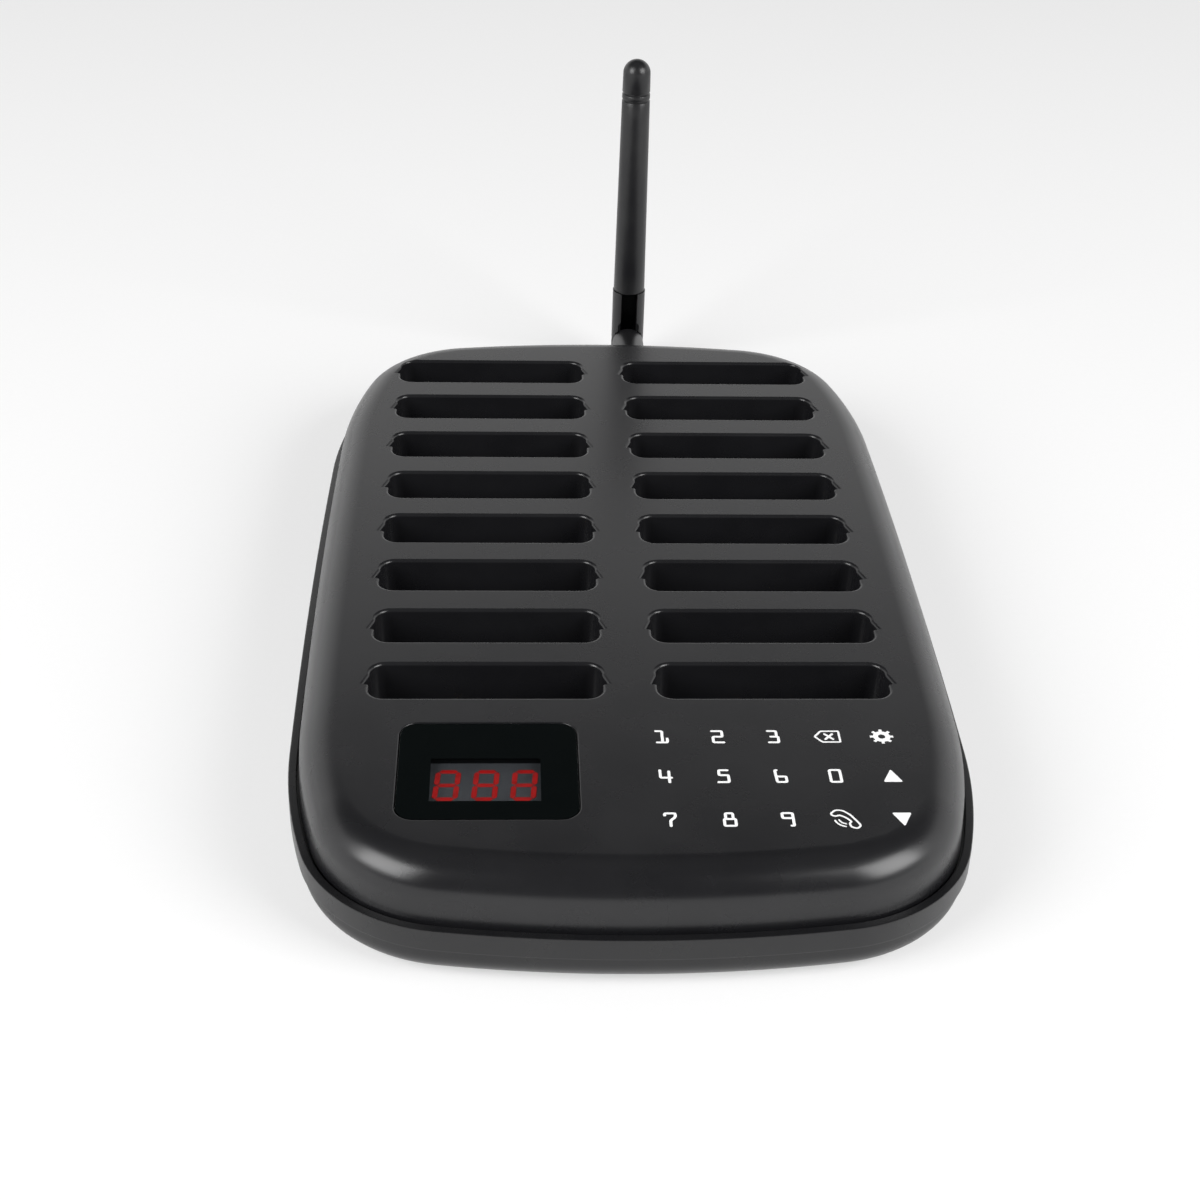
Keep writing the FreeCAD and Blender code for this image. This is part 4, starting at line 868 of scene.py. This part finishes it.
def makeContactPins():
    plan = pinPlan
    r = plan["radius"]
    profile = [(0, plan["rootZ"]), (r, plan["rootZ"]), (r, plan["tipZ"] - r)]
    last = plan["domeSteps"]
    for i in range(1, last + 1):
        angle = math.pi / 2 * i / last
        profile.append((r * math.cos(angle) if i < last else 0, plan["tipZ"] - r + r * math.sin(angle)))
    for number, (cx, cy) in enumerate(slotPlaces(), start=1):
        bm = bmesh.new()
        for side in (-1, 1):
            turnProfile(bm, profile, cx + side * plan["spacing"] / 2, cy, plan["sides"])
        name = "%02d" % number
        finishPiece("springPins_" + name, bm, "contact_pins_" + name, "goldFlash",
                    ["contact_pins_" + name], weighted=False)


makeContactPins()
print("contact pins made")

# Antenna

mastPlan = {"x": 10.0, "y": 148.9, "seamZ": 24.2, "seamR": 4.45, "tipZ": 91.6, "tipR": 3.75,
            "grooves": (80.6, 82.5), "grooveHalf": 0.3, "grooveDeep": 0.35, "boreR": 2.65,
            "boreTopZ": 86.75, "rings": (36, 50, 64, 76), "tipSteps": 12, "sides": 64}


def makeMast():
    plan = mastPlan

    def radiusAt(z):
        taper = plan["tipR"] - plan["seamR"]
        return plan["seamR"] + taper * (z - plan["seamZ"]) / (plan["tipZ"] - plan["seamZ"])

    seam = plan["seamZ"]
    profile = [(0, plan["boreTopZ"]), (plan["boreR"], plan["boreTopZ"]), (plan["boreR"], seam),
               (radiusAt(seam) - 0.25, seam), (radiusAt(seam) - 0.07, seam + 0.07),
               (radiusAt(seam), seam + 0.25)]
    for z in plan["rings"]:
        profile.append((radiusAt(z), z))
    half, deep = plan["grooveHalf"], plan["grooveDeep"]
    for z in plan["grooves"]:
        outer = radiusAt(z)
        profile += [(outer - 0.01, z - half - 0.12), (outer - 0.08, z - half), (outer - deep, z - half * 0.4),
                    (outer - deep, z + half * 0.4), (outer - 0.08, z + half), (outer - 0.01, z + half + 0.12)]
    centreZ = plan["tipZ"] - plan["tipR"]
    last = plan["tipSteps"]
    for i in range(last + 1):
        angle = math.pi / 2 * i / last
        out = plan["tipR"] * math.cos(angle) if i < last else 0
        profile.append((out, centreZ + plan["tipR"] * math.sin(angle)))
    bm = bmesh.new()
    turnProfile(bm, profile, plan["x"], plan["y"], plan["sides"])
    return finishPiece("mastSleeve", bm, "mast", "mouldedPolyurethane", ["mast_sleeve"],
                       sharp=50, weighted=False)


def softenNode(name, width, angle=40, sharp=35):
    # Moulded edges on a node that keeps its own shape
    node = nodes[name]
    node.data.polygons.foreach_set("use_smooth", [True] * len(node.data.polygons))
    node.data.set_sharp_from_angle(angle=math.radians(sharp))
    bevel = node.modifiers.new("softEdges", "BEVEL")
    bevel.width = width * mm
    bevel.segments = 3
    bevel.limit_method = "ANGLE"
    bevel.angle_limit = math.radians(angle)
    bevel.use_clamp_overlap = True
    shading = node.modifiers.new("flatFaces", "WEIGHTED_NORMAL")
    shading.keep_sharp = False


makeMast()
softenNode("antenna_fork", 0.3)
softenNode("antenna_barrel", 0.3)
print("antenna made")

# Finishes of the nodes that keep their own shape

nodeFinishes = {
    "window_adhesive": "foamTape", "display_module": "greyPrintedFace", "display_segments": "litEpoxy",
    "touch_pads": "conductiveFoam", "key_board": "solderMaskedBoard", "main_board": "solderMaskedBoard",
    "main_board_screws": "zincPlatedSteel", "board_header": "mouldedNylon", "control_chip": "mouldedEpoxy",
    "crystal": "tinnedSteel", "buzzer": "mouldedNylon", "ribbon_sockets": "mouldedNylon",
    "ribbon_cable": "ribbonPvc", "base_board": "solderMaskedBoard",
    "base_board_screws": "zincPlatedSteel", "contact_blocks": "mouldedNylon",
    "power_capacitor": "shrunkSleeve", "power_jack": "mouldedNylon", "jack_pin": "nickelPlatedBrass",
    "power_switch": "tinnedSteel", "power_slider": "mouldedNylon", "radio_board": "solderMaskedBoard",
    "radio_shield": "tinnedSteel", "antenna_lead": "extrudedJacket", "antenna_socket": "nickelPlatedBrass",
    "socket_nut": "nickelPlatedBrass", "coupling_nut": "nickelPlatedBrass",
    "antenna_barrel": "mouldedPolyurethane", "pivot_pin": "zincPlatedSteel",
    "antenna_fork": "mouldedPolyurethane", "antenna_radiator": "drawnCopper",
}
for nodeName, finish in nodeFinishes.items():
    mesh = nodes[nodeName].data
    mesh.materials.clear()
    mesh.materials.append(materials[finish])
softEdges = {"power_jack": 0.25, "power_switch": 0.15, "power_slider": 0.2, "socket_nut": 0.15,
             "coupling_nut": 0.1, "display_module": 0.12, "radio_shield": 0.2}
for nodeName, width in softEdges.items():
    softenNode(nodeName, width)
print("nodes finished")

# Floor, light and camera

stagePlan = {"floorHalf": 2.5, "floor": "#fcfcfc", "floorGrain": "#f8f8f8", "toothMm": 1.5, "lift": 0.5}


def seenRays(tree):
    # 1 for the camera's rays and for those through clear parts, else 0
    rays = addNode(tree, "ShaderNodeLightPath")
    return addNode(tree, "ShaderNodeMath", {"operation": "MAXIMUM"},
                   {0: rays.outputs["Is Camera Ray"], 1: rays.outputs["Is Transmission Ray"]})


def makeFloor():
    bm = bmesh.new()
    half = stagePlan["floorHalf"]
    places = ((-half, -half), (half, -half), (half, half), (-half, half))
    bm.faces.new([bm.verts.new((x, y, 0)) for x, y in places])
    mesh = bpy.data.meshes.new("floor")
    bm.to_mesh(mesh)
    bm.free()
    floor = bpy.data.objects.new("floor", mesh)
    bpy.context.scene.collection.objects.link(floor)
    # Matt paper sweep: white, with the faintest tooth
    material, tree = newMaterial("mattPaper")
    coords = addNode(tree, "ShaderNodeTexCoord")
    tooth = addNode(tree, "ShaderNodeTexNoise", {"Scale": 1000 / stagePlan["toothMm"], "Detail": 3.0},
                    {"Vector": coords.outputs["Object"]})
    tone = addNode(tree, "ShaderNodeMix", {"data_type": "RGBA"}, {"Factor": tooth.outputs["Fac"]})
    tone.inputs[6].default_value = toLinear(stagePlan["floorGrain"])
    tone.inputs[7].default_value = toLinear(stagePlan["floor"])
    shader = addNode(tree, "ShaderNodeBsdfDiffuse", {}, {"Color": tone.outputs[2]})
    # The camera and clear parts see the paper half way to white, and the shadow stays
    share = addNode(tree, "ShaderNodeMath", {"operation": "MULTIPLY", 1: stagePlan["lift"]},
                    {0: seenRays(tree).outputs[0]})
    white = addNode(tree, "ShaderNodeEmission", {"Strength": 1.0})
    mix = addNode(tree, "ShaderNodeMixShader", {}, {0: share.outputs[0], 1: shader.outputs["BSDF"],
                                                    2: white.outputs["Emission"]})
    addNode(tree, "ShaderNodeOutputMaterial", {}, {"Surface": mix.outputs["Shader"]})
    mesh.materials.append(material)


# Sky brightness by the sine of the height above the horizon: a pale low band all round and a faint patch
# overhead. Towards the front it falls to the share "front", between the two values of y in "fade"
skyPlan = {"strength": 1.65, "front": 0.08, "fade": (-0.5, 0.0),
           "steps": ((0.0, 0.74), (0.30, 0.60), (0.535, 0.55), (0.565, 0.012), (0.70, 0.012),
                     (0.86, 0.05), (0.92, 0.085), (1.0, 0.09))}
# Soft boxes: turn from the front towards either side and height above the table in degrees, the rest in
# metres and watts
boxPlan = {"distance": 1.3, "turn": 56.0, "height": 31.0, "size": 0.78, "watts": 15.0}


def makeSky():
    plan = skyPlan
    world = bpy.data.worlds.new("studio")
    bpy.context.scene.world = world
    world.use_nodes = True
    tree = world.node_tree
    tree.nodes.clear()
    coords = addNode(tree, "ShaderNodeTexCoord")
    parts = addNode(tree, "ShaderNodeSeparateXYZ", {}, {"Vector": coords.outputs["Generated"]})
    ramp = addNode(tree, "ShaderNodeValToRGB", {}, {"Fac": parts.outputs["Z"]})
    stops = ramp.color_ramp.elements
    while len(stops) < len(plan["steps"]):
        stops.new(0.5)
    for stop, (position, level) in zip(stops, plan["steps"]):
        stop.position = position
        stop.color = (level, level, level, 1)
    fade = {"From Min": plan["fade"][0], "From Max": plan["fade"][1],
            "To Min": plan["front"] * plan["strength"], "To Max": plan["strength"]}
    depth = addNode(tree, "ShaderNodeMapRange", fade, {"Value": parts.outputs["Y"]})
    sky = addNode(tree, "ShaderNodeBackground", {},
                  {"Color": ramp.outputs["Color"], "Strength": depth.outputs["Result"]})
    # Behind the floor's edge the camera and clear parts see plain white
    backdrop = addNode(tree, "ShaderNodeBackground", {"Color": (1, 1, 1, 1), "Strength": 1.0})
    mix = addNode(tree, "ShaderNodeMixShader", {},
                  {0: seenRays(tree).outputs[0], 1: sky.outputs["Background"],
                   2: backdrop.outputs["Background"]})
    addNode(tree, "ShaderNodeOutputWorld", {}, {"Surface": mix.outputs["Shader"]})


def makeSoftBoxes():
    plan = boxPlan
    turn, height = math.radians(plan["turn"]), math.radians(plan["height"])
    for side in (-1, 1):
        lamp = bpy.data.lights.new("softBox", "AREA")
        lamp.energy = plan["watts"]
        lamp.size = plan["size"]
        holder = bpy.data.objects.new("softBox", lamp)
        place = Vector((side * math.sin(turn) * math.cos(height), -math.cos(turn) * math.cos(height),
                        math.sin(height)))
        holder.location = plan["distance"] * place
        holder.rotation_euler = (-place).to_track_quat("-Z", "Y").to_euler()
        bpy.context.scene.collection.objects.link(holder)


cameraPlan = {"place": (-0.025356, -0.410385, 0.259341), "right": (0.9989165, -0.03816223, 0.02663596),
              "up": (-0.00214521, 0.53397651, 0.84549659), "forward": (0.04648901, 0.84463763, -0.53331608),
              "lens": 60.45, "sensor": 36.0, "clip": (0.01, 20)}


def makeCamera():
    plan = cameraPlan
    data = bpy.data.cameras.new("photoView")
    data.lens = plan["lens"]
    data.sensor_width = plan["sensor"]
    data.sensor_fit = "HORIZONTAL"
    data.clip_start, data.clip_end = plan["clip"]
    camera = bpy.data.objects.new("photoView", data)
    bpy.context.scene.collection.objects.link(camera)
    right, up, back = Vector(plan["right"]), Vector(plan["up"]), -Vector(plan["forward"])
    turn = Matrix((right, up, back)).transposed().to_4x4()
    camera.matrix_world = Matrix.Translation(Vector(plan["place"])) @ turn
    bpy.context.scene.camera = camera


makeFloor()
makeSky()
makeSoftBoxes()
makeCamera()
bpy.context.scene.view_settings.view_transform = "Standard"
print("stage, light and camera made")
